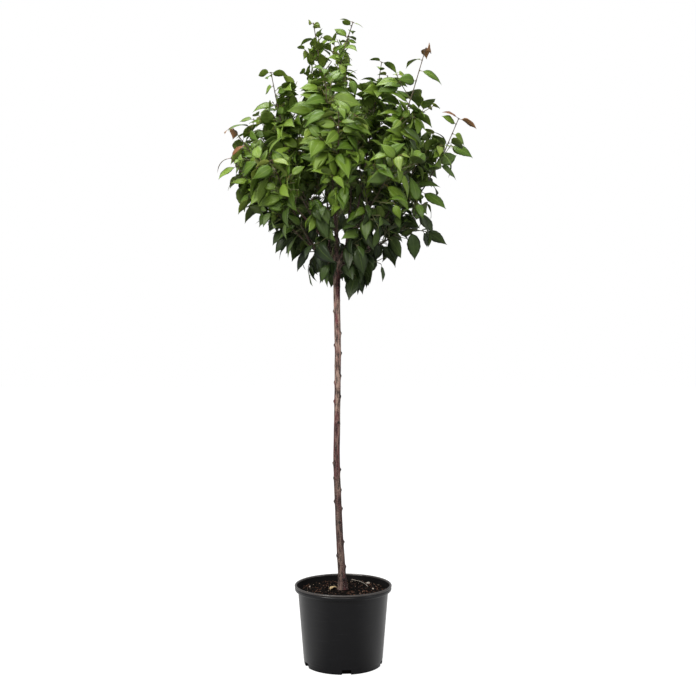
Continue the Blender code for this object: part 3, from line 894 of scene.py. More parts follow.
LIMBS = (
    Limb("top_left", "trunk", 1.178, (-0.086, 0.01, 1.846), 88, 0.55, 0.0048, 5, 0.07, 0.3, 0.4, 0.72, 17),
    Limb(
        "upper_right", "trunk", 1.15, (0.232, -0.08, 1.748),
        58, 0.2, 0.0054, 6, 0.11, 0.22, 0.55, 1.0, 24, True
    ),
    Limb(
        "far_right", "trunk", 1.138, (0.336, 0.03, 1.575), 29, 0.24, 0.0048, 6, 0.1, 0.2, 0.45, 1.0, 3, True
    ),
    Limb(
        "low_left", "trunk", 1.136, (-0.318, -0.05, 1.445), 38, 0.26, 0.0046, 6, 0.09, 0.2, 0.4, 1.0, 13, True
    ),
    Limb("upper_left", "trunk", 1.15, (-0.205, -0.04, 1.69), 60, 0.22, 0.0046, 6, 0.12, 0.18, 0.5, 1.0, 12),
    Limb("front", "trunk", 1.15, (-0.01, -0.26, 1.54), 50, 0.24, 0.0046, 6, 0.12, 0.16, 0.7, 1.0, 28),
    Limb("back_right", "trunk", 1.15, (0.19, 0.24, 1.57), 50, 0.24, 0.0048, 6, 0.12, 0.18, 0.6, 1.0, 19),
    Limb("back_left", "trunk", 1.15, (-0.19, 0.24, 1.55), 50, 0.24, 0.0048, 6, 0.12, 0.18, 0.6, 1.0, 21),
    Limb("top_middle", "top_left", 0.5, (0.028, -0.03, 1.836), 87, 0.2, 0.0032, 4, 0.06, 0.4, 0.4, 0.68, 4),
    Limb(
        "upper_middle", "upper_right", 0.15, (0.112, 0.04, 1.742),
        78, 0.18, 0.0034, 6, 0.11, 0.18, 0.5, 1.0, 19
    ),
    Limb(
        "crown_top", "back_right", 0.16, (0.035, 0.13, 1.69), 78, 0.2, 0.0034, 6, 0.12, 0.18, 0.5, 1.0, 26
    ),
    Limb("right", "far_right", 0.18, (0.272, 0.1, 1.54), 56, 0.2, 0.0034, 6, 0.11, 0.18, 0.6, 1.0, 12),
    Limb(
        "left", "upper_left", 0.15, (-0.32, 0.02, 1.545), 46, 0.2, 0.0034, 6, 0.11, 0.16, 0.6, 1.0, 30, True
    ),
    Limb("left_high", "back_left", 0.16, (-0.25, 0.11, 1.6), 60, 0.2, 0.0034, 6, 0.11, 0.18, 0.55, 1.0, 4),
    Limb("low_right", "far_right", 0.15, (0.23, -0.08, 1.315), 14, 0.2, 0.0034, 6, 0.1, 0.16, 0.9, 1.0, 26),
    Limb(
        "front_left", "low_left", 0.17, (-0.19, -0.21, 1.41), 34, 0.2, 0.0034, 6, 0.11, 0.16, 0.6, 1.0, 12
    ),
    Limb(
        "front_right", "upper_right", 0.12, (0.15, -0.225, 1.42),
        36, 0.18, 0.0034, 6, 0.11, 0.16, 0.7, 1.0, 22
    ),
    Limb("upper_front", "front", 0.16, (-0.05, -0.15, 1.665), 76, 0.2, 0.0034, 6, 0.12, 0.18, 0.5, 1.0, 28),
    Limb("upper_back", "back_left", 0.12, (-0.07, 0.2, 1.67), 76, 0.2, 0.0034, 6, 0.12, 0.18, 0.5, 1.0, 9),
    Limb("back", "back_right", 0.12, (0.02, 0.29, 1.43), 28, 0.2, 0.0034, 6, 0.11, 0.16, 0.75, 1.0, 8),
    Limb("skirt_left", "trunk", 1.126, (-0.16, 0.05, 1.345), 44, 0.0, 0.0027, 6, 0.09, 0.12, 1.1, 1.0, 24),
    Limb(
        "skirt_front", "trunk", 1.128, (-0.085, -0.15, 1.315), 42, 0.0, 0.0027, 6, 0.09, 0.12, 1.1, 1.0, 21
    ),
    Limb(
        "skirt_near_right", "trunk", 1.128, (0.065, -0.14, 1.305),
        40, 0.0, 0.0027, 6, 0.09, 0.12, 1.1, 1.0, 20
    ),
    Limb("skirt_right", "trunk", 1.12, (0.155, 0.04, 1.3), 38, 0.0, 0.0027, 6, 0.09, 0.12, 1.1, 1.0, 24),
    Limb("skirt_back", "trunk", 1.128, (-0.02, 0.17, 1.31), 42, 0.0, 0.0027, 6, 0.09, 0.12, 1.1, 1.0, 6),
    Limb("low_spur", "trunk", 1.118, (0.064, -0.02, 1.206), 16, 0.0, 0.0023, 2, 0.035, 0.1, 1.4, 1.0, 16),
)


@dataclass(frozen=True)
class Growth:
    """The sizes that the whole crown grows by."""

    # Leaves.
    leaf_length: float = 0.090
    leaf_width: float = 0.52
    leaf_sizes: Span = (0.85, 1.10)
    young: float = 0.62
    young_from: float = 0.7
    young_span: float = 0.3
    leaf_spacing: float = 0.0340
    unevenness: Span = (0.85, 1.15)
    leaf_turn: float = math.radians(137.5)
    leaf_aim: Span = (0.80, 0.45)
    leaf_turns: tuple[float, ...] = (0.0, 0.6, -0.6, 1.2, -1.2, 2.0, -2.0, 2.8)
    arch: float = 0.17
    fold: float = 0.12
    roll: float = 1.15
    outwards: float = 0.6
    end_free: float = 0.012
    tip_back: float = 0.0015
    # Stems and twigs.
    stem_radius: float = 0.0027
    stem_pieces: int = 4
    stem_first: float = 0.08
    twig_radius: float = 0.0019
    tip_radius: float = 0.0011
    twig_first: float = 0.28
    twig_leaf: float = 0.95
    twig_from: float = 0.05
    twig_to: float = 0.95
    twig_turn: float = math.radians(137.5)
    twig_jitter: float = 0.4
    twig_long: float = 1.15
    twig_taper: float = 0.6
    twig_aim: Span = (0.82, 0.62)
    twig_turns: tuple[float, ...] = (0.0, 0.7, -0.7, 1.4, -1.4, 2.4, -2.4)
    twig_scales: Span = (1.0, 0.7)
    twig_rise: float = 0.35
    twig_sag: float = 0.40
    bough_points: int = 5
    collar: float = 0.0005
    # Room between them.
    cell_gap: float = 0.0045
    limb_gap: float = 0.0020
    leaf_gap: float = 0.0046
    wood_gap: float = 0.004
    blade_gap: float = 0.0022
    sample_step: float = 0.006
    fit_gap: float = 0.0003
    crown_axis: Span = (-0.0187, 0.0)
    # Finer growth.
    fine_seed: int = 500
    fine_gap: float = 0.0018
    fine_spacing: float = 0.012
    fine_sizes: Span = (0.68, 1.0)
    fine_droop: float = 0.42
    skirt_droop: float = 0.72
    fine_roll: float = 0.85
    fine_outwards: float = 0.85
    spur_length: Span = (0.022, 0.050)
    spur_spacing: float = 0.027
    spur_free: Span = (0.16, 0.02)
    fine_free: Span = (0.08, 0.008)
    bough_marks: tuple[float, ...] = (0.3, 0.5, 0.7, 0.9, 1.0)
    spur_turns: tuple[float, ...] = (0.0, 1.3, -1.3, 2.6)
    spur_aim: Span = (0.8, 0.6)
    spur_radii: Span = (0.0013, 0.0008)
    depth: float = 1.15
    profile: tuple[Place, ...] = (  # height, radius within which finer growth stays, and its middle
        (1.13, 0.09, 0.0), (1.17, 0.14, 0.0), (1.21, 0.18, 0.0), (1.26, 0.24, 0.0), (1.32, 0.26, -0.04),
        (1.37, 0.27, -0.06), (1.43, 0.31, -0.02), (1.50, 0.30, -0.02), (1.58, 0.24, 0.0), (1.66, 0.14, -0.01),
        (1.72, 0.07, -0.04), (1.78, 0.08, -0.04), (1.82, 0.07, -0.03), (1.84, 0.02, -0.03),
    )  # fmt: skip


GROWTH = Growth()


def aimed(lead: Vector, turn: float, aim: Span) -> Vector:
    """A heading that leaves the line of lead, aim being how much it goes sideways and forwards."""
    side = Quaternion(lead, turn) @ any_side(lead)
    return side * aim[0] + lead * aim[1]


def arched(share: float | np.ndarray) -> float | np.ndarray:
    """How high a leaf's midrib stands at a share of its length, as a share of it."""
    return GROWTH.arch * (0.8 * share - 1.7 * share * share)


class Branch:
    """One limb's curve, worked out from its row: the bough, then the stem of its leaves."""

    def __init__(self, limb: Limb, root: Vector) -> None:
        """Args:
        limb: the limb's row.
        root: where it leaves its parent's middle line.
        """
        self.limb = limb
        self.root = root
        self.tip = Vector(limb.tip)
        rise = math.radians(limb.launch)
        level = Vector((self.tip.x - root.x, self.tip.y - root.y, 0.0)).normalized()
        launch = level * math.cos(rise) + Vector((0.0, 0.0, math.sin(rise)))
        self.control = root + launch * (self.tip - root).length * 0.5

    def at(self, share: float) -> Vector:
        """The point at a share of the curve."""
        return bent(self.root, self.control, self.tip, share)

    def direction(self, share: float) -> Vector:
        """The direction at a share of the curve."""
        return (self.at(min(1.0, share + 0.01)) - self.at(max(0.0, share - 0.01))).normalized()

    def bough_radius(self, share: float) -> float:
        """Tapers from the root's radius to a little over the stem's at the bough's end."""
        along = share / self.limb.bough
        return self.limb.radius + (GROWTH.stem_radius + GROWTH.collar - self.limb.radius) * along


@dataclass(frozen=True)
class Leaf:
    """One leaf: its root on the shoot, its three directions and its length."""

    root: Vector
    along: Vector
    side: Vector
    face: Vector
    length: float
    lead: Vector
    youth: float

    def point(self, share: float, across: float) -> Vector:
        """A point on the bent, folded blade, across is -1 to 1 between the edges."""
        half = 0.5 * GROWTH.leaf_width * max(0.0, math.sin(math.pi * share**0.76)) ** 1.2
        wide = across * half
        lift = self.length * (arched(share) + GROWTH.fold * abs(wide))
        flat = self.root + self.along * (self.length * share) + self.side * (self.length * wide)
        return flat + self.face * lift

    def samples(self) -> np.ndarray:
        """Points over the blade, close enough together to feel what it would touch."""
        shares = (0.14, 0.26, 0.38, 0.50, 0.62, 0.74, 0.86, 1.0)
        return as_rows(self.point(s, a) for s in shares for a in (-1.0, -0.5, 0.0, 0.5, 1.0))


class Mass:
    """The leaves of one limb: a stem, side twigs by a turning rule, and leaves on both."""

    def __init__(
        self, branch: Branch, start: float, home: Segments, others: Segments, limbs: Segments
    ) -> None:
        """Args:
        branch: the limb's curve.
        start: where on it the stem starts.
        home: the stem, for distances.
        others: every other stem.
        limbs: the trunk and the boughs.
        """
        self.branch = branch
        self.limb = branch.limb
        self.draw = random.Random(self.limb.seed)
        self.start = start
        self.home = home
        self.others = others
        self.limbs = limbs
        self.twigs: list[Run] = []
        self.leaves: list[Leaf] = []
        self.wood = Segments()
        self.blades = np.zeros((0, 3))
        self.cell_gap = GROWTH.cell_gap
        self.leaf_gap = GROWTH.leaf_gap
        self.droop = self.limb.droop
        self.roll = GROWTH.roll
        self.outwards = GROWTH.outwards
        self.finer = False

    def grow(self) -> None:
        """Grows the stem and its twigs, then the finer ones."""
        self.grow_stem()
        for number in range(self.limb.twigs):
            self.grow_twig(number)
        self.grow_finer()

    def grow_stem(self) -> None:
        """The leading shoot and its leaves."""
        pieces = GROWTH.stem_pieces
        self.stem = [self.branch.at(self.start + (1.0 - self.start) * k / pieces) for k in range(pieces + 1)]
        self.add_twig(self.stem, GROWTH.stem_radius, GROWTH.tip_radius)
        self.grow_leaves(self.stem, GROWTH.stem_first, self.draw.uniform(0, math.tau), 1.0)

    def add_twig(self, points: list[Vector], first_radius: float, last_radius: float) -> None:
        """Keeps a twig, and its pieces for distances."""
        radii = [float(r) for r in np.linspace(first_radius, last_radius, len(points))]
        self.twigs.append((points, radii))
        self.wood.add(points, radii)

    def grow_twig(self, number: int) -> None:
        """Grows one side twig if there is room for it.

        Args:
            number: which twig it is, counted from the bough.
        """
        limb, draw = self.limb, self.draw
        share = GROWTH.twig_from + (GROWTH.twig_to - limb.bare) * (number + 0.5) / limb.twigs
        root, lead = along_run(self.stem, share * run_length(self.stem))
        turn = number * GROWTH.twig_turn + limb.seed + draw.uniform(-GROWTH.twig_jitter, GROWTH.twig_jitter)
        reach = limb.reach * draw.uniform(*GROWTH.unevenness)
        length = reach * (GROWTH.twig_long - GROWTH.twig_taper * share)
        stem_radius = GROWTH.stem_radius + (GROWTH.tip_radius - GROWTH.stem_radius) * share
        for change in GROWTH.twig_turns:
            heading = aimed(lead, turn + change, GROWTH.twig_aim).normalized()
            for scale in GROWTH.twig_scales:
                points = self.twig_points(root, heading, length * scale)
                if self.twig_fits(points):
                    self.add_twig(points, min(GROWTH.twig_radius, 0.8 * stem_radius), 0.9 * GROWTH.tip_radius)
                    self.grow_leaves(points, GROWTH.twig_first, turn, GROWTH.twig_leaf)
                    return

    def twig_points(self, root: Vector, heading: Vector, length: float) -> list[Vector]:
        """A twig bends up towards the light, or down where the leaves hang heavily."""
        lift = Vector((0.0, 0.0, GROWTH.twig_rise - GROWTH.twig_sag * self.limb.droop))
        control = root + heading * length * 0.5
        tip = root + (heading + lift).normalized() * length
        return [bent(root, control, tip, k / 2) for k in range(3)]

    def fits(self, samples: np.ndarray, free: int, limb_gap: float, wood_gap: float) -> bool:
        """True if a leaf or a twig keeps its space and touches nothing.

        Args:
            samples: points over it, from its root outwards.
            free: how many of them may be near the wood that it grows from.
            limb_gap: its least distance to trunk and boughs.
            wood_gap: its least distance to stem and twigs.

        Returns:
            Whether it may stay.
        """
        if not (self.home.gap(samples) + self.cell_gap < self.others.gap(samples)).all():
            return False
        if self.limbs.gap(samples).min() < limb_gap:
            return False
        beyond = samples[free:]
        if len(beyond) and self.wood.gap(beyond).min() < wood_gap:
            return False
        return nearest_pair(samples, self.blades) > self.leaf_gap

    def twig_fits(self, points: list[Vector]) -> bool:
        """True if there is room for a twig."""
        samples = sampled(points, GROWTH.sample_step)[1:]
        return self.fits(samples, 2, GROWTH.limb_gap + GROWTH.twig_radius, GROWTH.wood_gap)

    def grow_leaves(self, points: list[Vector], first_share: float, turn: float, scale: float) -> None:
        """Leaves in a spiral up a stem or twig, smaller towards its end, and a pair at its tip.

        Args:
            points: the stem or twig.
            first_share: where its first leaf is.
            turn: which way round that leaf stands.
            scale: the size of its largest leaves.
        """
        total = run_length(points)
        place = total * first_share
        number = 0
        while place < total - GROWTH.end_free:
            young = max(0.0, place / total - GROWTH.young_from) / GROWTH.young_span
            size = scale * (1.0 - (1.0 - GROWTH.young) * young)
            self.grow_leaf(points, place, turn + number * GROWTH.leaf_turn, size, young * 0.8)
            place += GROWTH.leaf_spacing * self.draw.uniform(*GROWTH.unevenness) * (1.0 - 0.4 * young)
            number += 1
        for extra in (0.0, math.pi):
            way = turn + number * GROWTH.leaf_turn + extra
            self.grow_leaf(points, total - GROWTH.tip_back, way, scale * GROWTH.young, 1.0)

    def grow_leaf(self, points: list[Vector], place: float, turn: float, scale: float, youth: float) -> None:
        """Grows one leaf if there is room for it.

        Args:
            points: the stem or twig.
            place: how far along it the leaf is.
            turn: which way round it stands.
            scale: its size as a share of the usual.
            youth: 0 for a grown leaf, 1 for one just opened.
        """
        root, lead = along_run(points, place)
        size = GROWTH.leaf_length * self.limb.leaf * scale * self.draw.uniform(*GROWTH.leaf_sizes)
        roll = self.draw.uniform(-self.roll, self.roll)
        for change in GROWTH.leaf_turns:
            leaf = self.aim_leaf(root, lead, turn + change, size, roll, youth)
            samples = leaf.samples()
            room = self.in_crown(leaf.point(1.0, 0.0))
            if room and self.fits(samples, 5, GROWTH.limb_gap, GROWTH.blade_gap):
                self.leaves.append(leaf)
                self.blades = np.vstack([self.blades, samples])
                return

    def aim_leaf(
        self, root: Vector, lead: Vector, turn: float, size: float, roll: float, youth: float
    ) -> Leaf:
        """A leaf leaves its twig sideways and forwards and hangs, with its face to the light."""
        along = aimed(lead, turn, GROWTH.leaf_aim) - Vector((0.0, 0.0, self.droop))
        along.normalize()
        axis = GROWTH.crown_axis
        outwards = Vector((root.x - axis[0], root.y - axis[1], 0.0)).normalized()
        light = UP + outwards * self.outwards
        face = (light - along * light.dot(along)).normalized()
        face = Quaternion(along, roll) @ face
        return Leaf(root, along, along.cross(face), face, size, lead, youth)

    def in_crown(self, point: Vector) -> bool:
        """True if a point of finer growth keeps inside the crown, so that the edge stays open."""
        heights, radii, middles = zip(*GROWTH.profile)
        away = math.hypot(point.x - np.interp(point.z, heights, middles), point.y * GROWTH.depth)
        return not self.finer or away < np.interp(point.z, heights, radii)

    def grow_finer(self) -> None:
        """Short side shoots and further leaves, in the room that the first ones left."""
        self.draw = random.Random(self.limb.seed + GROWTH.fine_seed)
        self.cell_gap = 0.0
        self.leaf_gap = GROWTH.fine_gap
        self.droop *= GROWTH.fine_droop if self.limb.bough else GROWTH.skirt_droop
        self.roll = GROWTH.fine_roll
        self.outwards = GROWTH.fine_outwards
        self.finer = True
        runs = [points for points, _ in self.twigs]
        if self.limb.bough:
            runs.append([self.branch.at(self.limb.bough * share) for share in GROWTH.bough_marks])
        for points in runs:
            for place in self.places(points, GROWTH.spur_free, GROWTH.spur_spacing):
                self.grow_spur(points, place)
        for points in runs:
            for place in self.places(points, GROWTH.fine_free, GROWTH.fine_spacing):
                along = place / run_length(points)
                scale = self.draw.uniform(*GROWTH.fine_sizes) * (1.0 - 0.35 * max(0.0, along - 0.6) / 0.4)
                self.grow_leaf(points, place, self.draw.uniform(0.0, math.tau), scale, 0.5 * along)

    def places(self, points: list[Vector], free: Span, spacing: float) -> list[float]:
        """Uneven places along a run.

        Args:
            points: the run.
            free: what is left free, a share of the run at its start and a length at its end.
            spacing: how far apart the places are.

        Returns:
            How far along the run each place is.
        """
        total = run_length(points)
        place, made = total * free[0], []
        while place < total - free[1]:
            made.append(place)
            place += spacing * self.draw.uniform(0.8, 1.2)
        return made

    def grow_spur(self, points: list[Vector], place: float) -> None:
        """A short side shoot with a tuft of leaves.

        Args:
            points: the stem or twig.
            place: how far along it the spur is.
        """
        root, lead = along_run(points, place)
        length = self.draw.uniform(*GROWTH.spur_length)
        turn = self.draw.uniform(0.0, math.tau)
        for change in GROWTH.spur_turns:
            heading = aimed(lead, turn + change, GROWTH.spur_aim).normalized()
            spur = self.twig_points(root, heading, length)
            if self.in_crown(spur[-1]) and self.twig_fits(spur):
                self.add_twig(spur, *GROWTH.spur_radii)
                for number in range(3):
                    at = run_length(spur) * (0.45 + 0.27 * number)
                    self.grow_leaf(spur, at, turn + number * GROWTH.leaf_turn, 0.55 + 0.16 * number, 0.55)
                return


# ---------------------------------------------------------------- the trunk


@dataclass(frozen=True)
class Trunk:
    """The trunk: its line, its girth, and the buds and scars up it."""

    foot: float = 0.2123
    sway: float = 0.003
    rings: tuple[Place, ...] = (  # height above the foot, radius, lean to the right
        (0.000, 0.0160, -0.0024), (0.008, 0.0142, -0.0024), (0.024, 0.0124, -0.0030),
        (0.055, 0.0112, -0.0044), (0.142, 0.0106, -0.0100), (0.257, 0.0099, -0.0150),
        (0.372, 0.0094, -0.0196), (0.459, 0.0092, -0.0180), (0.600, 0.0090, -0.0160),
        (0.690, 0.0090, -0.0152), (0.833, 0.0094, -0.0185), (0.905, 0.0108, -0.0187),
        (0.940, 0.0124, -0.0187), (0.958, 0.0104, -0.0187), (0.966, 0.0060, -0.0187),
    )  # fmt: skip
    buds: tuple[tuple[float, Side, float], ...] = (  # height, side, size
        (1.088, Side.FRONT, 0.7), (1.050, Side.BACK, 0.8), (1.014, Side.LEFT, 0.9), (0.984, Side.BACK, 0.9),
        (0.950, Side.RIGHT, 0.9), (0.916, Side.LEFT, 1.0), (0.893, Side.RIGHT, 1.3),
        (0.860, Side.BACK, 1.0), (0.828, Side.RIGHT, 0.9), (0.809, Side.LEFT, 0.8),
        (0.769, Side.RIGHT, 1.0), (0.754, Side.LEFT, 1.0), (0.725, Side.BACK, 0.9),
        (0.694, Side.FRONT, 1.0), (0.640, Side.BACK, 1.0), (0.576, Side.LEFT, 1.2),
        (0.557, Side.RIGHT, 1.3), (0.534, Side.LEFT, 1.0), (0.499, Side.RIGHT, 0.9),
        (0.466, Side.LEFT, 1.1), (0.4445, Side.RIGHT, 1.2), (0.406, Side.FRONT, 0.9),
        (0.380, Side.BACK, 1.0), (0.348, Side.RIGHT, 1.1), (0.310, Side.LEFT, 0.7),
        (0.277, Side.RIGHT, 0.9), (0.242, Side.FRONT, 0.9),
    )  # fmt: skip
    flutes: tuple[tuple[float, ...], ...] = (  # height, how far up it fades, waves round, phase, twist
        (0.0016, 0.022, 3, 0.7, 0.0),
        (0.0005, 0.050, 7, 2.0, 30.0),
    )
    swells: tuple[Span, ...] = ((2, 0.00028), (3, 0.00020), (5, 0.00012))  # waves round, height
    seed: int = 8
    girth: float = 0.0098
    ring_step: float = 0.0011
    sides: int = 44
    easing: int = 25
    eased_from: Span = (0.03, 0.05)  # height, how soon after it in full
    eased_to: Span = (0.93, 0.03)
    bud_height: float = 0.0024
    bud_reach: float = 0.0035
    bud_turn: float = 0.5
    pillow: tuple[float, ...] = (0.0010, 0.004, 0.007, 0.009)  # height, drop, reach up, reach round
    scar: tuple[float, ...] = (0.0007, 0.0035, 0.0011, 0.012)  # the same
    scar_bow: float = 18.0
    pore_count: int = 260
    pore_height: float = 0.00032
    pore_reach: float = 0.0007
    pore_widths: Span = (0.0012, 0.0032)

    def line(self) -> Run:
        """The points and radii that the limbs are set out from."""
        length = self.rings[-1][0]
        points = []
        for above, _, lean in self.rings:
            sway = self.sway * math.sin(math.tau * above / length)
            points.append(Vector((lean, sway, self.foot + above)))
        points[0].xy = points[1].xy
        return points, [radius for _, radius, _ in self.rings]

    def relief(self, above: np.ndarray, turn: np.ndarray) -> tuple[np.ndarray, np.ndarray]:
        """How far the bark stands off the plain taper.

        Args:
            above: each ring's height above the foot.
            turn: each side's angle.

        Returns:
            The relief for each ring and side, and how far each point is bud or scar, 0 to 1.
        """
        draw = random.Random(self.seed)
        high, angle = above[:, None], turn[None, :]
        made = np.zeros((len(above), len(turn)))
        knot = np.zeros_like(made)
        for size, fade, waves, phase, twist in self.flutes:
            made += size * np.exp(-high / fade) * np.cos(waves * angle + phase + twist * high)
        for waves, size in self.swells:
            phase, climb = draw.uniform(0, math.tau), draw.uniform(10, 26)
            made += size * np.sin(waves * angle + phase + climb * high) * np.sin(climb * 1.7 * high + phase)
        for height, side, size in self.buds:
            lift = high - (height - self.foot)
            facing = math.radians(side.value) + draw.uniform(-self.bud_turn, self.bud_turn)
            around = self.girth * wrapped(angle - facing)
            reach = self.bud_reach * (0.7 + 0.3 * size)
            lump = hump(lift, reach) * hump(around, reach * 0.95)
            swollen, drop, up, wide = self.pillow
            made += self.bud_height * size * lump + swollen * hump(lift + drop, up) * hump(around, wide)
            ridge, drop, up, wide = self.scar
            scar = hump(lift + drop + self.scar_bow * around**2, up) * hump(around, wide)
            made += ridge * scar
            lump = np.clip(2.4 * lump * (0.55 + 0.45 * size) - 0.25, 0, 1)
            knot = np.maximum(knot, np.maximum(lump, 0.75 * scar))
        for _ in range(self.pore_count):
            lift = high - draw.uniform(0.01, self.rings[-1][0])
            around = self.girth * wrapped(angle - draw.uniform(0, math.tau))
            near = np.abs(lift[:, 0]) < 0.004
            wide = draw.uniform(*self.pore_widths)
            made[near] += self.pore_height * hump(lift[near], self.pore_reach) * hump(around, wide)
        return made, knot

    def build(self, finish: Material) -> Piece:
        """Makes the trunk.

        Args:
            finish: its bark.

        Returns:
            The trunk.
        """
        points, radii = self.line()
        length = self.rings[-1][0]
        above = np.linspace(0.0, length, int(length / self.ring_step))
        marks = np.array([ring[0] for ring in self.rings])
        path = resampled(as_rows(points), marks, above)
        girth = np.interp(above, marks, radii)
        (low, rise), (high, fall) = self.eased_from, self.eased_to
        share = np.clip((above - low) / rise, 0, 1) * np.clip((high - above) / fall, 0, 1)
        width = 2 * self.easing + 1
        for column in (path[:, 0], path[:, 1], girth):
            padded = np.pad(column, self.easing, mode="edge")
            column += (np.convolve(padded, np.ones(width) / width, mode="valid") - column) * share
        skin = Limbskin(path, girth, self.sides, Vector((1.0, 0.0, 0.0)))
        relief, knot = self.relief(above, skin.angles())
        maker = MeshMaker()
        skin.add_to(maker, knot, relief)
        return maker.build("trunk_bark", finish)


# ---------------------------------------------------------------- the blade of a leaf


@dataclass(frozen=True)
class Habit:
    """How one leaf differs from the next: its fold, bends and waves, and which green it takes."""

    bow: float
    fold: float
    curl: float
    bend: float
    twist: float
    wave: float
    phase: float
    width: float
    colour: int

    @classmethod
    def drawn(cls, draw: random.Random, colours: int) -> "Habit":
        """Draws one leaf's habit.

        Args:
            draw: where the numbers come from.
            colours: how many greens there are to choose from.

        Returns:
            The habit.
        """
        return cls(
            bow=draw.uniform(0.0, 0.12),
            fold=draw.uniform(0.10, 0.42),
            curl=draw.uniform(-0.03, 0.13),
            bend=draw.uniform(-0.08, 0.08),
            twist=draw.uniform(-0.45, 0.45),
            wave=draw.uniform(0.004, 0.020),
            phase=draw.uniform(0.0, 1.0),
            width=draw.uniform(0.86, 1.12),
            colour=draw.randrange(colours),
        )


@dataclass(frozen=True)
class BladeShape:
    """A closed thin blade on its stalk, with a long drip tip, a toothed edge and sunken side veins."""

    stations: int = 13
    columns: tuple[float, ...] = (-1.0, -0.54, -0.04, 0.04, 0.54, 1.0)
    stalk: float = 0.15
    stalk_radius: float = 0.0009
    stalk_sides: int = 3
    stalk_sizes: tuple[float, ...] = (1.25, 0.9, 0.95, 0.45)
    stalk_bow: float = 0.012
    stalk_sunk: float = 0.0006
    half_width: float = 0.238
    thickness: float = 0.00038
    rib: float = 0.0007
    tooth: float = 0.03
    slant: float = 0.55
    vein: float = 0.0021
    waves: float = 1.6
    outline: tuple[Span, ...] = (
        (0.00, 0.06), (0.04, 0.30), (0.10, 0.56), (0.18, 0.80), (0.28, 0.96), (0.38, 1.00), (0.48, 0.98),
        (0.58, 0.89), (0.68, 0.72), (0.77, 0.51), (0.85, 0.30), (0.91, 0.15), (0.96, 0.065), (1.00, 0.012),
    )  # fmt: skip

    def grid(self) -> tuple[np.ndarray, np.ndarray, np.ndarray]:
        """Each station and column's share of the length, place across, and odd or even vein."""
        station = np.linspace(0.0, 1.0, self.stations)[:, None]
        across = np.array(self.columns)[None, :]
        share = station + self.slant * np.abs(across) ** 1.2 * station * (1.0 - station)
        marks, widths = zip(*self.outline)
        odd = np.where(np.arange(self.stations) % 2 == 1, 1.0, -1.0)[:, None]
        toothed = (np.abs(across) > 0.99) & (share > 0.05) & (share < 0.93)
        width = np.interp(share, marks, widths) * (1.0 + self.tooth * odd * toothed)
        veined = (1.0 - np.abs(across) ** 3) * (np.abs(across) > 0.1) * (share < 0.9)
        return share, across * width, odd * veined

    def faces(self) -> tuple[list[Face], list[int]]:
        """The faces, and each one's part: 0 upper, 1 lower, 2 midrib, 3 stalk."""
        rows, columns = self.stations, len(self.columns)
        upper = np.arange(rows * columns).reshape(rows, columns)
        lower = upper.copy()
        inner = (rows - 2) * (columns - 2)
        lower[1:-1, 1:-1] = rows * columns + np.arange(inner).reshape(rows - 2, columns - 2)
        faces, parts = [], []
        for k in range(rows - 1):
            for c in range(columns - 1):
                rib = c == columns // 2 - 1 and k < rows - 3
                faces.append((upper[k, c], upper[k, c + 1], upper[k + 1, c + 1], upper[k + 1, c]))
                faces.append((lower[k, c], lower[k + 1, c], lower[k + 1, c + 1], lower[k, c + 1]))
                parts += [2, 2] if rib else [0, 1]
        start, sides, rings = rows * columns + inner, self.stalk_sides, len(self.stalk_sizes)
        for low in range(start, start + (rings - 1) * sides, sides):
            faces += band(low, low + sides, sides)
        faces.append(tuple(start + k for k in reversed(range(sides))))
        faces.append(tuple(start + (rings - 1) * sides + k for k in range(sides)))
        parts += [3] * ((rings - 1) * sides + 2)
        return [tuple(int(number) for number in face) for face in faces], parts

    def points(self, leaf: Leaf, habit: Habit, grid: tuple[np.ndarray, np.ndarray, np.ndarray]) -> np.ndarray:
        """Bends the blade for one leaf.

        Args:
            leaf: where it is.
            habit: how it differs from the rest.
            grid: what grid() gives.

        Returns:
            The points of both skins, which share the edge's, then the stalk's rings.
        """
        share, across, vein = grid
        wide = across * self.half_width * habit.width
        lift = habit.fold * np.abs(wide) - (0.5 + 2.2 * habit.fold) * wide**2 - habit.curl * share**2
        lift = lift + habit.wave * np.sin(math.tau * (self.waves * share + habit.phase)) * across**2
        twist = habit.twist * share**1.5
        sideways = wide * np.cos(twist) - lift * np.sin(twist) + habit.bend * share**2
        lift = wide * np.sin(twist) + lift * np.cos(twist) - self.vein * vein
        along = self.stalk + (1.0 - self.stalk) * share
        lift = lift + arched(along) + 4.0 * habit.bow * along * (1.0 - along)
        local = np.stack([along, sideways, lift], axis=-1) * leaf.length
        basis = np.array([leaf.along, leaf.side, leaf.face])
        upper = local @ basis + np.array(leaf.root)
        columns = np.array(self.columns)[None, :]
        rib = self.rib * (np.abs(columns) < 0.1) * (1.0 - share)
        depth = self.thickness * np.sqrt(1.0 - columns**2) + rib
        under = upper - depth[..., None] * np.array(leaf.face)
        stalk = self.stalk_points(local, leaf.length) @ basis + np.array(leaf.root)
        return np.vstack([upper.reshape(-1, 3), under[1:-1, 1:-1].reshape(-1, 3), stalk])

    def stalk_points(self, blade: np.ndarray, length: float) -> np.ndarray:
        """The rings of a stalk, from the shoot into the foot of the midrib.

        Args:
            blade: the blade's points in the leaf's own directions.
            length: the leaf's length.

        Returns:
            The rings' points in the leaf's own directions.
        """
        left = len(self.columns) // 2 - 1
        middle = blade[:, left : left + 2].mean(axis=1)
        half = middle[0] * 0.5 + np.array([0.0, 0.0, self.stalk_bow * length])
        inside = middle[2] - np.array([0.0, 0.0, self.stalk_sunk])
        turn = np.arange(self.stalk_sides) * math.tau / self.stalk_sides
        ring = np.column_stack([np.zeros(len(turn)), np.cos(turn), np.sin(turn)]) * self.stalk_radius
        centres = (np.zeros(3), half, middle[0], inside)
        return np.vstack([centre + ring * size for centre, size in zip(centres, self.stalk_sizes)])


# ---------------------------------------------------------------- the crown


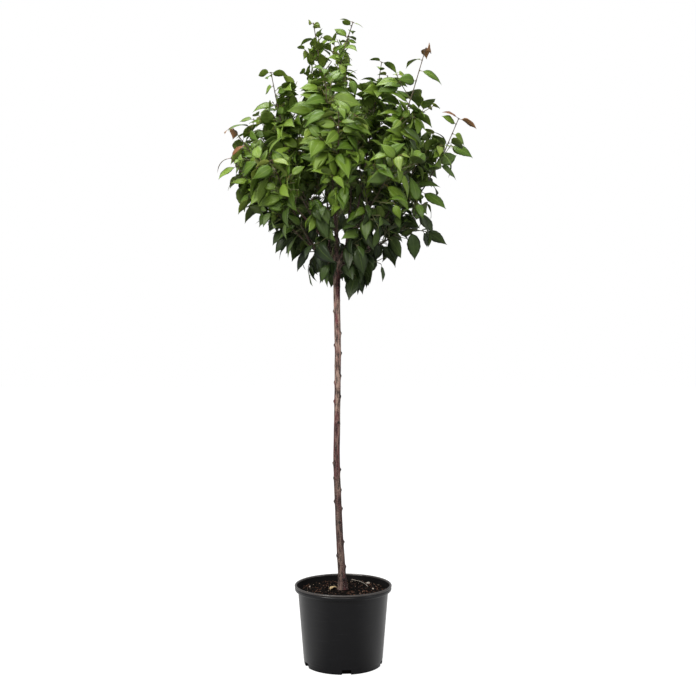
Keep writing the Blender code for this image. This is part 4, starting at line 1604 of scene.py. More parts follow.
@dataclass(frozen=True)
class TintColours:
    """The colours of one tint of leaf: its greens, its pale underside, its midrib and its stalk."""

    uppers: tuple[str, ...]
    under: str
    rib: str
    stalk: str

    def build(self, name: str, effects: SharedEffects) -> list[Material]:
        """Makes the tint's finishes.

        Args:
            name: what their names start with.
            effects: the shared groups.

        Returns:
            The greens, the underside, the midrib and the stalk.
        """
        made = [LeafFinish(f"{name}_{number}", code) for number, code in enumerate(self.uppers, 1)]
        made.append(LeafFinish(f"{name}_under", self.under, (0.55, 0.7), 0.35))
        made.append(LeafFinish(f"{name}_rib", self.rib, (0.45, 0.6), 0.4, 0.0))
        made.append(LeafFinish(f"{name}_stalk", self.stalk, (0.4, 0.55), 0.4, 0.0))
        return [finish.build(effects) for finish in made]


# shade, deep, green and bright are painted shade and light: the same leaves, darker or lighter by where they
# are lit
TINTS = {
    Tint.SHADE: TintColours(("2e3d1b", "3b4f20", "233216"), "36461e", "465925", "464524"),
    Tint.DEEP: TintColours(("4c6129", "597130", "3f5322"), "52632a", "5c7231", "565228"),
    Tint.GREEN: TintColours(("647f26", "728d30", "557221"), "6b8137", "768d3d", "70672f"),
    Tint.BRIGHT: TintColours(("637d26", "6e892f", "587421"), "788c3a", "849a42", "7c7438"),
    Tint.YOUNG: TintColours(("6f852f", "7a8f38", "627b2b"), "929e48", "98a64c", "886a3e"),
    Tint.BRONZE: TintColours(("7c5230", "8c6438", "6c6030"), "98704e", "96643e", "824a34"),
}


@dataclass(frozen=True)
class LightPlan:
    """Painted light and shade: which tint a leaf takes, lighter to the left, front, top and outside of the
    crown, darker low down and at the back right; young and bronze leaves apart.
    """

    middle: Place = (-0.0187, 0.0, 1.44)
    reach: Place = (0.36, 0.30, 0.34)
    weights: Place = (-0.32, -0.22, 0.62)
    outer: float = 0.35
    outer_from: float = 0.8
    mood: float = 0.28
    youth: float = 0.15
    low: float = 1.31
    low_shade: float = 3.4
    steps: tuple[tuple[float, Tint], ...] = ((0.40, Tint.BRIGHT), (-0.22, Tint.GREEN), (-0.50, Tint.DEEP))
    young: float = 0.75
    young_height: float = 1.38
    young_mood: float = -0.1
    bronze_reach: float = 0.06

    def tint(self, leaf: Leaf, mass: Mass) -> Tint:
        """Which tint a leaf takes: young or bronze where it has just opened, else lighter or darker by the
        light and shade painted on its place.

        Args:
            leaf: the leaf.
            mass: the mass it grows in.

        Returns:
            Its kind.
        """
        mood = math.sin(91.7 * (leaf.root.x * 3 + leaf.root.y * 5 + leaf.root.z * 7))
        if leaf.youth > self.young:
            if mass.limb.bronze and (leaf.root - mass.branch.tip).length < self.bronze_reach:
                return Tint.BRONZE
            if leaf.root.z > self.young_height and mood > self.young_mood:
                return Tint.YOUNG
        # painted light and shade: lighter to the left, front, top and outside of the crown, darker low down
        out = leaf.point(0.6, 0.0) - Vector(self.middle)
        scaled = Vector(part / reach for part, reach in zip(out, self.reach))
        light = sum(part * weight for part, weight in zip(scaled, self.weights))
        light += self.outer * (scaled.length - self.outer_from) + mood * self.mood + self.youth * leaf.youth
        light -= self.low_shade * max(0.0, self.low - out.z - self.middle[2])
        for least, tint in self.steps:
            if light > least:
                return tint
        return Tint.SHADE


@dataclass(frozen=True)
class BoughBark:
    """The relief of a bough's bark: its collar, swells, rings and buds."""

    seed: int = 21
    sides: int = 16
    ring_step: float = 0.0016
    least_rings: int = 20
    beyond: float = 0.004
    collar: float = 0.35
    trunk_radius: float = 0.010
    bough_radius: float = 0.004
    first: float = 0.022
    spacing: float = 0.026
    uneven: float = 0.004
    ring: Span = (0.0004, 0.0012)  # height, reach along
    bud: Place = (0.0013, 0.0024, 0.45)  # height, reach along, reach round
    bud_above: float = 0.001

    def relief(
        self, along: np.ndarray, turn: np.ndarray, draw: random.Random
    ) -> tuple[np.ndarray, np.ndarray]:
        """How far the bark stands off the plain taper.

        Args:
            along: how far along the bough each ring is.
            turn: each side's angle.
            draw: where the numbers come from.

        Returns:
            The relief for each ring and side, and how far each point is bud or scar, 0 to 1.
        """
        turn, far = turn[None, :], along[:, None]
        relief = 0.00018 * np.sin(2 * turn + far * 90) + 0.00012 * np.sin(5 * turn - far * 60)
        knot = np.zeros_like(relief)
        for ring in np.arange(self.first, along[-1], self.spacing):
            at = ring + draw.uniform(-self.uneven, self.uneven)
            around = wrapped(turn - draw.uniform(0, math.tau))
            scar = hump(far - at, self.ring[1])
            lump = hump(far - at - self.bud_above, self.bud[1]) * hump(around, self.bud[2])
            relief = relief + self.ring[0] * scar + self.bud[0] * lump
            knot = np.maximum(knot, np.clip(0.5 * scar + 0.9 * lump, 0, 1))
        return relief, knot


class Crown:
    """The boughs, shoots, buds and leaves, grown limb by limb."""

    shoot_step = 0.006
    shoot_sides = 7
    shoot_back = 0.02
    swell = 0.00035
    swell_reach = 0.004
    swell_knot = 0.35
    bud_marks = (0.0, 0.8, 1.7, 2.6)
    bud_girths = (0.45, 0.9, 0.75, 0.12)
    bud_sides = 5
    bud_knot = 0.4
    stem_marks = 6
    face_sides = 12
    leaf_seed = 77
    piece_leaves = 600

    def __init__(self, trunk: Trunk) -> None:
        """Args:
        trunk: what the limbs grow from.
        """
        self.trunk_points, self.trunk_radii = trunk.line()
        self.branches = self.plan_branches()
        self.boughs: list[str] = []
        self.masses = self.plan_masses(*self.plan_limbs())

    def on_trunk(self, height: float) -> Vector:
        """The trunk's middle at a height."""
        points = self.trunk_points
        for low, high in zip(points[:-1], points[1:]):
            if high.z >= height:
                return low.lerp(high, (height - low.z) / (high.z - low.z))
        return points[-1].copy()

    def plan_branches(self) -> dict[str, Branch]:
        """Every limb's curve, parents first."""
        made: dict[str, Branch] = {}
        for limb in LIMBS:
            root = self.on_trunk(limb.at) if limb.parent == "trunk" else made[limb.parent].at(limb.at)
            made[limb.name] = Branch(limb, root)
        return made

    def clear_share(self, branch: Branch, radius: float, parent: Segments) -> float:
        """How far along its curve a limb starts, so that its end face is just clear of its parent."""
        share = 0.0
        while share < 0.5:
            centre, lead = branch.at(share), branch.direction(share)
            side = any_side(lead)
            rim = [
                centre + Quaternion(lead, math.tau * k / self.face_sides) @ side * reach
                for reach in (radius, radius / 2)
                for k in range(self.face_sides)
            ]
            if parent.gap(as_rows([centre, *rim])).min() >= GROWTH.fit_gap:
                return share
            share += 0.001
        raise ValueError(f"{branch.limb.name} never leaves its parent")

    def plan_limbs(self) -> tuple[dict[str, float], Segments]:
        """Where on its curve each stem starts, and the trunk and boughs for distances."""
        trunk, every = Segments(), Segments()
        trunk.add(self.trunk_points, self.trunk_radii)
        every.add(self.trunk_points, self.trunk_radii)
        own = {"trunk": trunk}
        starts = {}
        pieces = GROWTH.bough_points - 1
        for name, branch in self.branches.items():
            limb = branch.limb
            radius = limb.radius if limb.bough else GROWTH.stem_radius
            start = self.clear_share(branch, radius, own[limb.parent])
            starts[name] = start
            if not limb.bough:
                continue
            shares = [start + (limb.bough - start) * k / pieces for k in range(pieces + 1)]
            points = [branch.at(share) for share in shares]
            radii = [branch.bough_radius(share) for share in shares]
            self.boughs.append(name)
            own[name] = Segments()
            own[name].add(points, radii)
            every.add(points, radii)
            step = (branch.at(limb.bough + 0.01) - branch.at(limb.bough)).length
            starts[name] = limb.bough + GROWTH.fit_gap / step * 0.01
        return starts, every

    def plan_masses(self, starts: dict[str, float], limbs: Segments) -> list[Mass]:
        """Grows every mass in its own space, nearer to its stem than to the others.

        Args:
            starts: where each stem starts.
            limbs: the trunk and the boughs.

        Returns:
            The masses.
        """
        marks, thin = range(self.stem_marks + 1), [0.0] * (self.stem_marks + 1)
        stems = {
            name: [branch.at(starts[name] + (1 - starts[name]) * k / self.stem_marks) for k in marks]
            for name, branch in self.branches.items()
        }
        masses = []
        for name, branch in self.branches.items():
            home, others = Segments(), Segments()
            home.add(stems[name], thin)
            for other, points in stems.items():
                if other != name:
                    others.add(points, thin)
            mass = Mass(branch, starts[name], home, others, limbs)
            mass.grow()
            masses.append(mass)
        return masses

    def foliage(self, piece: Piece) -> Piece:
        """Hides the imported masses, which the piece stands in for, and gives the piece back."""
        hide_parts(*[f"foliage_{limb.name}" for limb in LIMBS])
        return piece

    def eased_run(self, points: list[Vector], radii: list[float]) -> tuple[np.ndarray, np.ndarray]:
        """A run of points taken in short steps, its corners eased.

        Args:
            points: the run.
            radii: the radius at each point.

        Returns:
            The path and its radii.
        """
        line = as_rows(points)
        along = distances(line)
        places = np.linspace(0.0, along[-1], max(4, int(along[-1] / self.shoot_step)))
        return relaxed(resampled(line, along, places), 3), np.interp(places, along, radii)

    def build_boughs(self, finish: Material) -> Piece:
        """The bare boughs, each grown out of its parent with a collar, with the bark's relief."""
        maker, bark = MeshMaker(), BoughBark()
        draw = random.Random(bark.seed)
        for name in self.boughs:
            branch = self.branches[name]
            limb = branch.limb
            length = (branch.at(limb.bough) - branch.root).length
            count = max(bark.least_rings, int(length / bark.ring_step))
            shares = np.linspace(0.0, limb.bough + bark.beyond, count).tolist()
            path = as_rows(branch.at(share) for share in shares)
            along = distances(path)
            parent = bark.trunk_radius if limb.parent == "trunk" else bark.bough_radius
            collar = 1.0 + bark.collar * hump(along - parent * 0.8, parent * 1.2)
            radii = np.array([branch.bough_radius(min(share, limb.bough)) for share in shares])
            skin = Limbskin(path, radii * collar, bark.sides)
            relief, knot = bark.relief(along, skin.angles(), draw)
            skin.add_to(maker, knot, relief)
        made = maker.build("boughs_bark", finish)
        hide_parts(*[f"bough_{name}" for name in self.boughs])
        return made

    def build_shoots(self, brown: Material, green: Material) -> list[Piece]:
        """The leading shoots, which start brown, and the green side twigs and spurs."""
        stems, twigs = MeshMaker(), MeshMaker()
        for mass in self.masses:
            roots = [np.array(leaf.root) for leaf in mass.leaves]
            back = max(0.0, mass.start - self.shoot_back) if mass.limb.bough else 0.0
            for number, (points, radii) in enumerate(mass.twigs):
                maker = twigs
                if number == 0:
                    maker, points, radii = stems, [mass.branch.at(back), *points], [radii[0], *radii]
                path, girth = self.eased_run(points, radii)
                swell = np.zeros(len(path))
                for root in roots:
                    swell = np.maximum(swell, hump(np.linalg.norm(path - root, axis=1), self.swell_reach))
                knot = np.repeat(self.swell_knot * swell, self.shoot_sides)
                Limbskin(path, girth + self.swell * swell, self.shoot_sides).add_to(maker, knot)
        return [
            self.foliage(stems.build("leading_shoots", brown)),
            self.foliage(twigs.build("side_twigs", green)),
        ]

    def build_buds(self, finish: Material) -> Piece:
        """A small pointed bud above each leaf's stalk."""
        maker = MeshMaker()
        knot = np.full(len(self.bud_marks) * self.bud_sides, self.bud_knot)
        for mass in self.masses:
            for leaf in mass.leaves:
                lead = (leaf.lead * 0.8 + leaf.along * 0.6).normalized()
                size = 0.0011 + 0.0004 * (leaf.length / GROWTH.leaf_length)
                root = leaf.root + leaf.along * 0.0012 + leaf.lead * 0.0010
                path = as_rows(root + lead * size * mark for mark in self.bud_marks)
                skin = Limbskin(path, np.array(self.bud_girths) * size, self.bud_sides)
                skin.add_to(maker, knot, end_knot=self.bud_knot)
        return self.foliage(maker.build("leaf_buds", finish))

    def build_leaves(self, effects: SharedEffects) -> list[Piece]:
        """Every leaf, each tint in a piece of its own, or in more where it has many leaves.

        Args:
            effects: the shared groups.

        Returns:
            The pieces.
        """
        blade, plan, draw = BladeShape(), LightPlan(), random.Random(self.leaf_seed)
        grid = blade.grid()
        faces, parts = blade.faces()
        grown: dict[Tint, list[tuple[np.ndarray, list[int]]]] = {tint: [] for tint in Tint}
        for mass in self.masses:
            for leaf in mass.leaves:
                tint = plan.tint(leaf, mass)
                greens = len(TINTS[tint].uppers)
                habit = Habit.drawn(draw, greens)
                slots = (habit.colour, greens, greens + 1, greens + 2)
                grown[tint].append((blade.points(leaf, habit, grid), [slots[part] for part in parts]))
        made = []
        for tint, leaves in grown.items():
            finishes = TINTS[tint].build(f"leaf_{tint.value}", effects)
            for number, first in enumerate(range(0, len(leaves), self.piece_leaves), 1):
                maker = MeshMaker()
                for points, slots in leaves[first : first + self.piece_leaves]:
                    maker.add(points, faces, slots)
                made.append(self.foliage(maker.build(f"leaves_{tint.value}_{number}", *finishes)))
        return made

    def build(self, effects: SharedEffects, bark: Material) -> list[Piece]:
        """Makes the whole crown.

        Args:
            effects: the shared groups.
            bark: the boughs' bark.

        Returns:
            Its pieces.
        """
        brown = BarkFinish(
            "shoot_bark_brown", "6c6048", "5b4a3c", "3c2f26", "a09478", pore_stretch=(700.0, 700.0, 420.0),
            pore_size=0.10, rough=(0.45, 0.65), relief=0.0002,
        ).build(effects)  # fmt: skip
        green = BarkFinish(
            "shoot_bark_green", "76804f", "6b6a45", "5a5138", "a3a27e", pore_stretch=(800.0, 800.0, 420.0),
            pore_size=0.08, rough=(0.42, 0.6), relief=0.0001,
        ).build(effects)  # fmt: skip
        boughs = self.build_boughs(bark)
        return [boughs, *self.build_shoots(brown, green), self.build_buds(brown), *self.build_leaves(effects)]


# ---------------------------------------------------------------- the pot and what is in it


@dataclass(frozen=True)
class Pot:
    """A round nursery pot: a thin tapering wall, a rolled lip of two beads, and drain notches."""

    height: float = 0.227
    rim: float = 0.140
    top_radius: float = 0.1296
    foot_radius: float = 0.1125
    wall: float = 0.0022
    lip_height: float = 0.0215
    lip: tuple[Span, ...] = (  # outwards from the rim, upwards from the top
        (-0.0056, -0.0004), (-0.0036, 0.0), (-0.0012, -0.0006), (0.0, -0.0028), (-0.0006, -0.0050),
        (-0.0020, -0.0058), (-0.0022, -0.0068), (-0.0010, -0.0080), (-0.0009, -0.0125), (-0.0014, -0.0150),
        (-0.0034, -0.0162),
    )  # fmt: skip
    segments: int = 180
    notches: int = 5
    notch_turn: float = math.radians(-85.0)
    notch_size: Place = (0.026, 0.024, 0.028)
    notch_corner: float = 0.0016
    rounding: float = 0.0012
    sharp: float = math.radians(42.0)

    def wall_radius(self, height: float) -> float:
        """The outside radius of the wall at a height."""
        top = self.height - self.lip_height
        return self.foot_radius + (self.top_radius - self.foot_radius) * height / top

    def inside(self) -> list[Span]:
        """The inside from the middle of the floor up to the lip."""
        top = self.height - self.lip_height
        return [
            (0.0, self.wall),
            (self.foot_radius - self.wall - 0.002, self.wall),
            (self.wall_radius(0.005) - self.wall, 0.0055),
            (self.wall_radius(top) - self.wall, top),
            (self.rim - 0.0088, self.height - 0.0110),
            (self.rim - 0.0068, self.height - 0.0030),
        ]

    def outside(self) -> list[Span]:
        """The lip from its inner edge over both beads, the wall and the foot to the middle below."""
        wall_top = self.height - self.lip_height
        return [
            *[(self.rim + out, self.height + up) for out, up in self.lip],
            (self.top_radius + 0.0010, self.height - 0.0170),
            (self.top_radius + 0.0001, self.height - 0.0190),
            (self.wall_radius(wall_top * 0.97), wall_top * 0.97),
            (self.wall_radius(0.016), 0.016),
            (self.wall_radius(0.0145) - 0.0005, 0.0145),
            (self.wall_radius(0.0035) - 0.0005, 0.0035),
            (self.foot_radius - 0.0020, 0.0),
            (0.0, 0.0),
        ]

    def build(self, finish: Material) -> Piece:
        """Makes the pot.

        Args:
            finish: its plastic.

        Returns:
            The pot, its notches cut.
        """
        made = turned("nursery_pot", eased(self.inside() + self.outside(), self.rounding), self.segments)
        cutters = []
        for number in range(self.notches):
            turn = self.notch_turn + number * math.tau / self.notches
            bpy.ops.mesh.primitive_cube_add(size=1.0)
            cutter = bpy.context.object
            cutter.data.transform(cutter.matrix_world)
            for vertex in cutter.data.vertices:
                vertex.co = Vector(c * s for c, s in zip(vertex.co, self.notch_size))
            cutter.location = (self.foot_radius * math.cos(turn), self.foot_radius * math.sin(turn), 0.0)
            cutter.rotation_euler = (0.0, 0.0, turn - math.pi / 2)
            soften = cutter.modifiers.new("soft corners", "BEVEL")
            soften.width, soften.segments = self.notch_corner, 3
            cutters.append(cutter)
            cut = made.modifiers.new(f"notch_{number}", "BOOLEAN")
            cut.operation, cut.solver, cut.object = "DIFFERENCE", "EXACT", cutter
        mesh = bpy.data.meshes.new_from_object(made.evaluated_get(bpy.context.evaluated_depsgraph_get()))
        made.modifiers.clear()
        made.data = mesh
        for cutter in cutters:
            bpy.data.objects.remove(cutter)
        mesh.materials.clear()
        mesh.materials.append(finish)
        mesh.shade_smooth()
        mesh.set_sharp_from_angle(angle=self.sharp)
        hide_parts("pot")
        return made


@dataclass(frozen=True)
class Compost:
    """The compost: a bed of crumb heaped a little round the stem, with loose crumbs and bits on it."""

    level: float = 0.2105
    mound: Span = (0.0015, 0.05)  # height, reach
    edge: Span = (0.0015, 0.8)  # drop, where it starts
    radius: float = 0.1285
    floor: float = 0.0030
    floor_radius: float = 0.1080
    rings: int = 110
    segments: int = 200
    crowding: float = 0.85
    rough: float = 0.0022
    wall_gap: float = 0.003
    stem_gap: float = 0.018
    crumbs: int = 1700
    crumb_size: Span = (0.0007, 0.0026)  # least, how much more at most
    large_crumb: float = 0.0016
    slivers: int = 260
    sliver_length: Span = (0.004, 0.013)
    sliver_radius: Span = (0.0006, 0.0014)
    flecks: int = 60
    fleck_length: Span = (0.0018, 0.0036)
    fleck_radius: float = 0.0010
    girths: tuple[float, ...] = (0.35, 1.0, 0.9, 0.2)
    flat: float = 0.7

    def top(self, x: float, y: float) -> float:
        """The height of the bed's top at a place."""
        r = math.hypot(x, y)
        (mound, reach), (drop, edge) = self.mound, self.edge
        heap = mound * math.exp(-((r / reach) ** 2)) - drop * max(0.0, r / self.radius - edge) / 0.2
        broad = noise.noise(Vector((x * 28, y * 28, 3.1))) * 0.0016
        fine = noise.turbulence(Vector((x * 190, y * 190, 0.4)), 4, False) * self.rough
        return self.level + heap + broad + fine - self.rough * 0.5

    def build_bed(self, finish: Material) -> Piece:
        """The closed body of compost with its rough top."""
        turn = np.arange(self.segments) * math.tau / self.segments
        points = []
        for ring in range(1, self.rings + 1):
            r = self.radius * (ring / self.rings) ** self.crowding
            for a in turn:
                x, y = r * math.cos(a), r * math.sin(a)
                points.append([x, y, self.top(x, y)])
        r = self.floor_radius
        points += [[r * math.cos(a), r * math.sin(a), self.floor] for a in turn]
        points += [[0.0, 0.0, self.top(0, 0)], [0.0, 0.0, self.floor]]
        maker = MeshMaker()
        maker.add(np.array(points), turned_faces(self.rings + 1, self.segments))
        return maker.build("compost_bed", finish)

    def spots(self, draw: random.Random, count: int) -> list[Span]:
        """Places scattered over the bed, clear of the stem and the wall."""
        made = []
        while len(made) < count:
            r, a = (self.radius - self.wall_gap) * math.sqrt(draw.random()), draw.uniform(0, math.tau)
            if r > self.stem_gap:
                made.append((r * math.cos(a), r * math.sin(a)))
        return made

    def build_crumbs(self, finish: Material) -> Piece:
        """Loose lumps of many sizes, pressed a little into the bed."""
        draw, maker, balls = random.Random(5), MeshMaker(), (ball(1), ball(2))
        for x, y in self.spots(draw, self.crumbs):
            size = self.crumb_size[0] + self.crumb_size[1] * draw.random() ** 2.6
            points, faces = balls[size > self.large_crumb]
            shift = Vector((draw.uniform(0, 99), 0, 0))
            lumps = np.array([1.0 + 0.38 * noise.noise(Vector(point) * 1.3 + shift) for point in points])
            squash = np.array([draw.uniform(*span) for span in ((0.7, 1.2), (0.7, 1.2), (0.5, 0.9))])
            place = np.array([x, y, self.top(x, y) + size * 0.25])
            maker.add(points * lumps[:, None] * squash * size + place, faces)
        return maker.build("compost_crumbs", finish)

    def build_slivers(self, brown: Material, pale: Material) -> Piece:
        """Flat slivers of bark and a few pale flecks, lying every way."""
        draw, maker = random.Random(14), MeshMaker()
        for number, (x, y) in enumerate(self.spots(draw, self.slivers + self.flecks)):
            fleck = number >= self.slivers
            length = draw.uniform(*(self.fleck_length if fleck else self.sliver_length))
            way = Quaternion(UP, draw.uniform(0, math.tau)) @ Vector((1, 0, draw.uniform(-0.35, 0.35)))
            bow = draw.uniform(-0.1, 0.2) * length
            middle = Vector((x, y, self.top(x, y) + 0.0009))
            path = as_rows(middle + way * length * (k / 3 - 0.5) for k in range(4))
            path[1:3, 2] += bow
            radius = self.fleck_radius if fleck else draw.uniform(*self.sliver_radius)
            points = Limbskin(path, np.array(self.girths) * radius, 6).points()
            height = path[:, 2].mean()
            points[:, 2] = height + (points[:, 2] - height) * self.flat
            maker.add(points, ring_faces(4, 6), int(fleck))
        return maker.build("compost_slivers", brown, pale)

    def build(self, effects: SharedEffects) -> list[Piece]:
        """Makes the compost.

        Args:
            effects: the shared groups.

        Returns:
            Its pieces.
        """
        loose = CompostFinish("compost_loose_crumb", "050403", "120c0a", "573f34", 0.67).build(effects)
        brown = ChipFinish("sliver_brown", "6a4634", "33221a").build(effects)
        pale = ChipFinish("fleck_pale", "b9a692", "7f6a58").build(effects)
        bed = self.build_bed(CompostFinish().build(effects))
        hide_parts("compost")
        return [bed, self.build_crumbs(loose), self.build_slivers(brown, pale)]


@dataclass(frozen=True)
class Litter:
    """What lies on the compost: a curl of bark, a bent grey twig and three pale chips."""

    level: float = 0.2112
    curl_place: Span = (-0.025, -0.006)
    curl_turn: float = 0.35
    curl_arc: Span = (-8.0, 172.0)
    curl_marks: tuple[int, int] = (22, 7)
    curl_radius: float = 0.0112
    curl_wall: float = 0.0013
    curl_wave: float = 0.0007
    curl_shape: Place = (1.12, 0.013, 0.80)
    twig_marks: tuple[Place, ...] = (
        (0.024, 0.113, 0.0030),
        (0.042, 0.092, 0.0042),
        (0.058, 0.066, 0.0050),
        (0.066, 0.044, 0.0040),
        (0.072, 0.028, 0.0016),
    )
    twig_rings: int = 40
    twig_sides: int = 8
    twig_radii: Span = (0.0012, 0.0007)
    chips: tuple[tuple[float, ...], ...] = (  # place, size, turn
        (0.074, 0.066, 0.0068, 0.4),
        (-0.097, 0.026, 0.0045, 1.2),
        (0.086, 0.002, 0.0038, 2.2),
    )
    chip_shape: Place = (1.0, 0.45, 0.55)

    def build_curl(self, finish: Material) -> Piece:
        """A curl of pale bark standing on its edges like a small arch."""
        across, deep = self.curl_marks
        wide, long, high = self.curl_shape
        points = []
        for wall in (0.0, self.curl_wall):
            for a in np.radians(np.linspace(*self.curl_arc, across)):
                for d in np.linspace(0.0, 1.0, deep):
                    r = self.curl_radius - wall + self.curl_wave * math.sin(5 * a + 3 * d)
                    points.append((r * wide * math.cos(a), long * d, r * high * math.sin(a)))
        side, faces = across * deep, []
        for i in range(across - 1):
            for a in range(i * deep, i * deep + deep - 1):
                b, c = a + side, a + deep
                faces += [(a, a + 1, c + 1, c), (b, b + deep, b + deep + 1, b + 1)]
        for a in range(0, side - deep, deep):
            b = a + deep - 1
            faces += [(a, a + deep, a + deep + side, a + side), (b + deep, b, b + side, b + deep + side)]
        for a in range(deep - 1):
            b = side - deep + a
            faces += [(a + 1, a, a + side, a + 1 + side), (b, b + 1, b + 1 + side, b + side)]
        turned_round = np.array(points) @ np.array(Quaternion(UP, self.curl_turn).to_matrix()).T
        maker = MeshMaker()
        maker.add(turned_round + np.array([*self.curl_place, self.level]), faces)
        return maker.build("bark_curl", finish)

    def build_twig(self, finish: Material) -> Piece:
        """A long bent twig that lies across the compost."""
        line = np.array(self.twig_marks) + np.array([0.0, 0.0, self.level])
        places = np.linspace(0, len(line) - 1, self.twig_rings)
        path = relaxed(resampled(line, np.arange(len(line)), places), 8)
        skin = Limbskin(path, np.linspace(*self.twig_radii, self.twig_rings), self.twig_sides)
        bumps = 0.00012 * np.sin(np.arange(self.twig_rings) * 1.3)[:, None]
        maker = MeshMaker()
        maker.add(skin.points(bumps), ring_faces(self.twig_rings, self.twig_sides))
        return maker.build("dry_twig", finish)

    def build_chips(self, finish: Material) -> Piece:
        """Three broken chips of wood."""
        maker = MeshMaker()
        points, faces = ball(2)
        for number, (x, y, size, turn) in enumerate(self.chips):
            draw, shift = random.Random(40 + number), Vector((number * 9.0, 0, 0))
            way = Quaternion(UP, turn) @ Quaternion(Vector((1, 0, 0)), 0.5)
            made = []
            for point in points:
                rough = 1.0 + 0.35 * noise.noise(Vector(point) * 1.6 + shift)
                shape = Vector(part * share for part, share in zip(point, self.chip_shape)) * rough * size
                made.append(way @ shape + Vector((x, y, self.level + size * draw.uniform(0.35, 0.5))))
            maker.add(as_rows(made), faces)
        return maker.build("wood_chips", finish)

    def build(self, effects: SharedEffects) -> list[Piece]:
        """Makes the litter.

        Args:
            effects: the shared groups.

        Returns:
            Its pieces.
        """
        return [
            self.build_curl(ChipFinish("bark_curl_pale", "cdb68a", "8d7450").build(effects)),
            self.build_twig(ChipFinish("dry_twig_grey", "a79e93", "6b625a").build(effects)),
            self.build_chips(ChipFinish("wood_chip_pale", "d2c8bc", "8b7c70").build(effects)),
        ]


# ---------------------------------------------------------------- the studio


@dataclass(frozen=True)
class SoftLight:
    """A large soft lamp."""

    name: str
    place: Place
    aim: Place
    width: float
    height: float
    watts: float
    colour: Place = (1.0, 1.0, 1.0)

    def build(self) -> None:
        """Hangs the lamp."""
        data = bpy.data.lights.new(self.name, "AREA")
        data.shape, data.size, data.size_y = "RECTANGLE", self.width, self.height
        data.energy, data.color = self.watts, self.colour
        lamp = bpy.data.objects.new(self.name, data)
        bpy.context.scene.collection.objects.link(lamp)
        lamp.location = self.place
        lamp.rotation_mode = "QUATERNION"
        lamp.rotation_quaternion = (Vector(self.aim) - Vector(self.place)).to_track_quat("-Z", "Y")


@dataclass(frozen=True)
class Surround:
    """What stands round the plant: white to the eye, dimmer as light, and uneven in gloss."""

    light: float = 0.52
    front: float = 0.025
    sides: float = 0.36
    turn: Span = (-0.88, -0.30)

    def in_gloss(self, board: Board, way: Socket) -> Socket:
        """How bright gloss finds the surround: dark in front, bright at the sides and behind."""
        low, high = self.turn
        ends = {"From_Min": low, "From_Max": high, "To_Min": self.front, "To_Max": self.sides}
        return board.ranged(board.split(way)[1], **ends)

    def build(self) -> None:
        """Sets up the world."""
        world = bpy.data.worlds.new("surround")
        bpy.context.scene.world = world
        world.use_nodes = True
        board = Board(world.node_tree)
        ground = world.node_tree.nodes["Background"].inputs
        path = board.add("LightPath").outputs
        gloss = self.in_gloss(board, board.add("TexCoord").outputs["Generated"])
        gloss = board.maths("MULTIPLY", path["Is Glossy Ray"], gloss)
        dim = board.maths("SUBTRACT", 1.0, path["Is Glossy Ray"])
        light = board.maths("ADD", board.maths("MULTIPLY", dim, self.light), gloss)
        board.feed(WHITE, ground["Color"])
        board.feed(board.maths("MAXIMUM", path["Is Camera Ray"], light), ground["Strength"])


@dataclass(frozen=True)
class FloorFinish(Finish):
    """A plain pale floor, white to the eye where nothing stands on it, and like the surround in gloss."""

    surround: Surround
    colour: str = "808080"
    rough: float = 0.9
    specular: float = 0.1
    seen: float = 0.93

    def dress(self, board: Board) -> dict[str, object]:
        """What the shader's inputs take."""
        path = board.add("LightPath").outputs
        way = board.add("VectorMath", operation="NORMALIZE")
        board.feed(board.place(), way.inputs[0])
        gloss = board.maths("MULTIPLY", path["Is Glossy Ray"], self.surround.in_gloss(board, way.outputs[0]))
        seen = board.maths("MULTIPLY", path["Is Camera Ray"], self.seen)
        return {
            "Base Color": self.colour,
            "Roughness": self.rough,
            "Specular IOR Level": self.specular,
            "Emission Color": WHITE,
            "Emission Strength": board.maths("ADD", gloss, seen),
        }


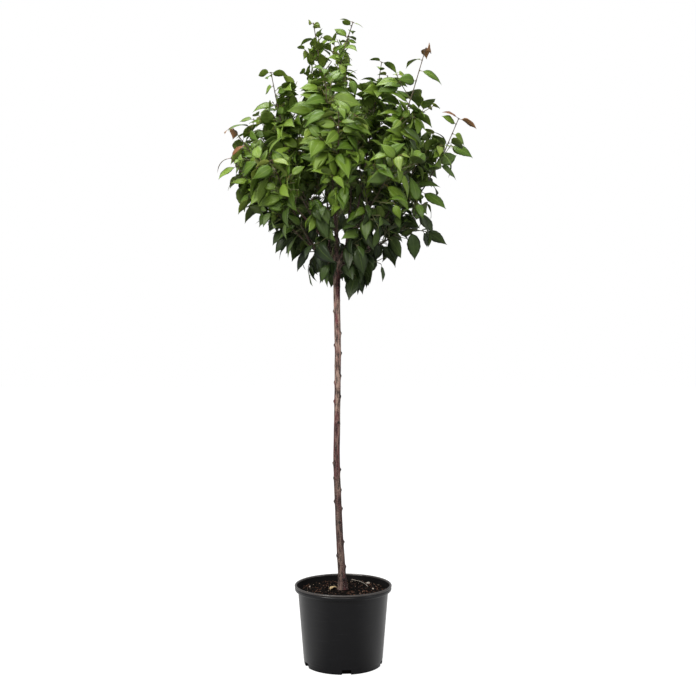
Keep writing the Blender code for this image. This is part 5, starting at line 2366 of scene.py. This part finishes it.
@dataclass(frozen=True)
class Studio:
    """A pale floor, a white surround, soft lamps and the camera."""

    lamps: tuple[SoftLight, ...] = (
        SoftLight("key_soft", (-2.2, -2.5, 3.0), (0.0, 0.0, 1.40), 1.5, 1.5, 104.0, (1.0, 0.98, 0.92)),
        SoftLight("top_soft", (-0.4, 0.2, 3.9), (0.0, 0.0, 1.3), 1.8, 1.8, 60.0),
        SoftLight("front_soft", (0.5, -3.3, 2.3), (0.0, 0.0, 1.40), 2.0, 1.4, 38.0, (1.0, 0.99, 0.94)),
        SoftLight("fill_right", (2.8, -1.4, 1.7), (0.0, 0.0, 1.0), 1.2, 2.0, 12.0, (0.95, 0.98, 1.0)),
    )
    surround: Surround = Surround()
    floor_size: float = 40.0
    lens: float = 52.4
    sensor: float = 36.0
    eye: Place = (0.0138, -2.92, 0.907)

    def build_floor(self, effects: SharedEffects) -> None:
        """The floor, a flat square."""
        half = self.floor_size / 2
        maker = MeshMaker()
        corners = [[-half, -half, 0.0], [half, -half, 0.0], [half, half, 0.0], [-half, half, 0.0]]
        maker.add(np.array(corners), [(0, 1, 2, 3)])
        maker.build("floor", FloorFinish("pale_floor", self.surround).build(effects))

    def build_camera(self) -> None:
        """The camera, level and square on."""
        data = bpy.data.cameras.new("camera")
        data.lens, data.sensor_width = self.lens, self.sensor
        eye = bpy.data.objects.new("camera", data)
        bpy.context.scene.collection.objects.link(eye)
        eye.location = self.eye
        eye.rotation_euler = (math.radians(90.0), 0.0, 0.0)
        bpy.context.scene.camera = eye

    def build(self, effects: SharedEffects) -> None:
        """Sets up the studio."""
        bpy.context.scene.view_settings.view_transform = "Standard"
        self.build_floor(effects)
        self.surround.build()
        for lamp in self.lamps:
            lamp.build()
        self.build_camera()


# ---------------------------------------------------------------- the whole plant


def report(piece: Piece) -> None:
    """Lets a finished piece ride on the plant's one body, and reports it."""
    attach(piece, "root")
    LOG.info("%s: %d faces", piece.name, len(piece.data.polygons))


def main() -> None:
    """Builds the plant in its pot, from the pot up, and the studio round it."""
    logging.basicConfig(level=logging.INFO, format="%(message)s")
    effects = SharedEffects()
    report(Pot().build(PlasticFinish().build(effects)))
    for piece in (*Compost().build(effects), *Litter().build(effects)):
        report(piece)
    bark = BarkFinish("trunk_bark", "a98c7f", "703a3d", "210f10", "dccdbd", low_shade=0.57).build(effects)
    trunk = Trunk()
    stem = trunk.build(bark)
    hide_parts("trunk")
    report(stem)
    crown = Crown(trunk)
    for piece in crown.build(effects, bark):
        report(piece)
    leaves = sum(len(mass.leaves) for mass in crown.masses)
    twigs = sum(len(mass.twigs) for mass in crown.masses)
    LOG.info("%d leaves on %d shoots and twigs", leaves, twigs)
    Studio().build(effects)


if __name__ == "__main__":
    main()
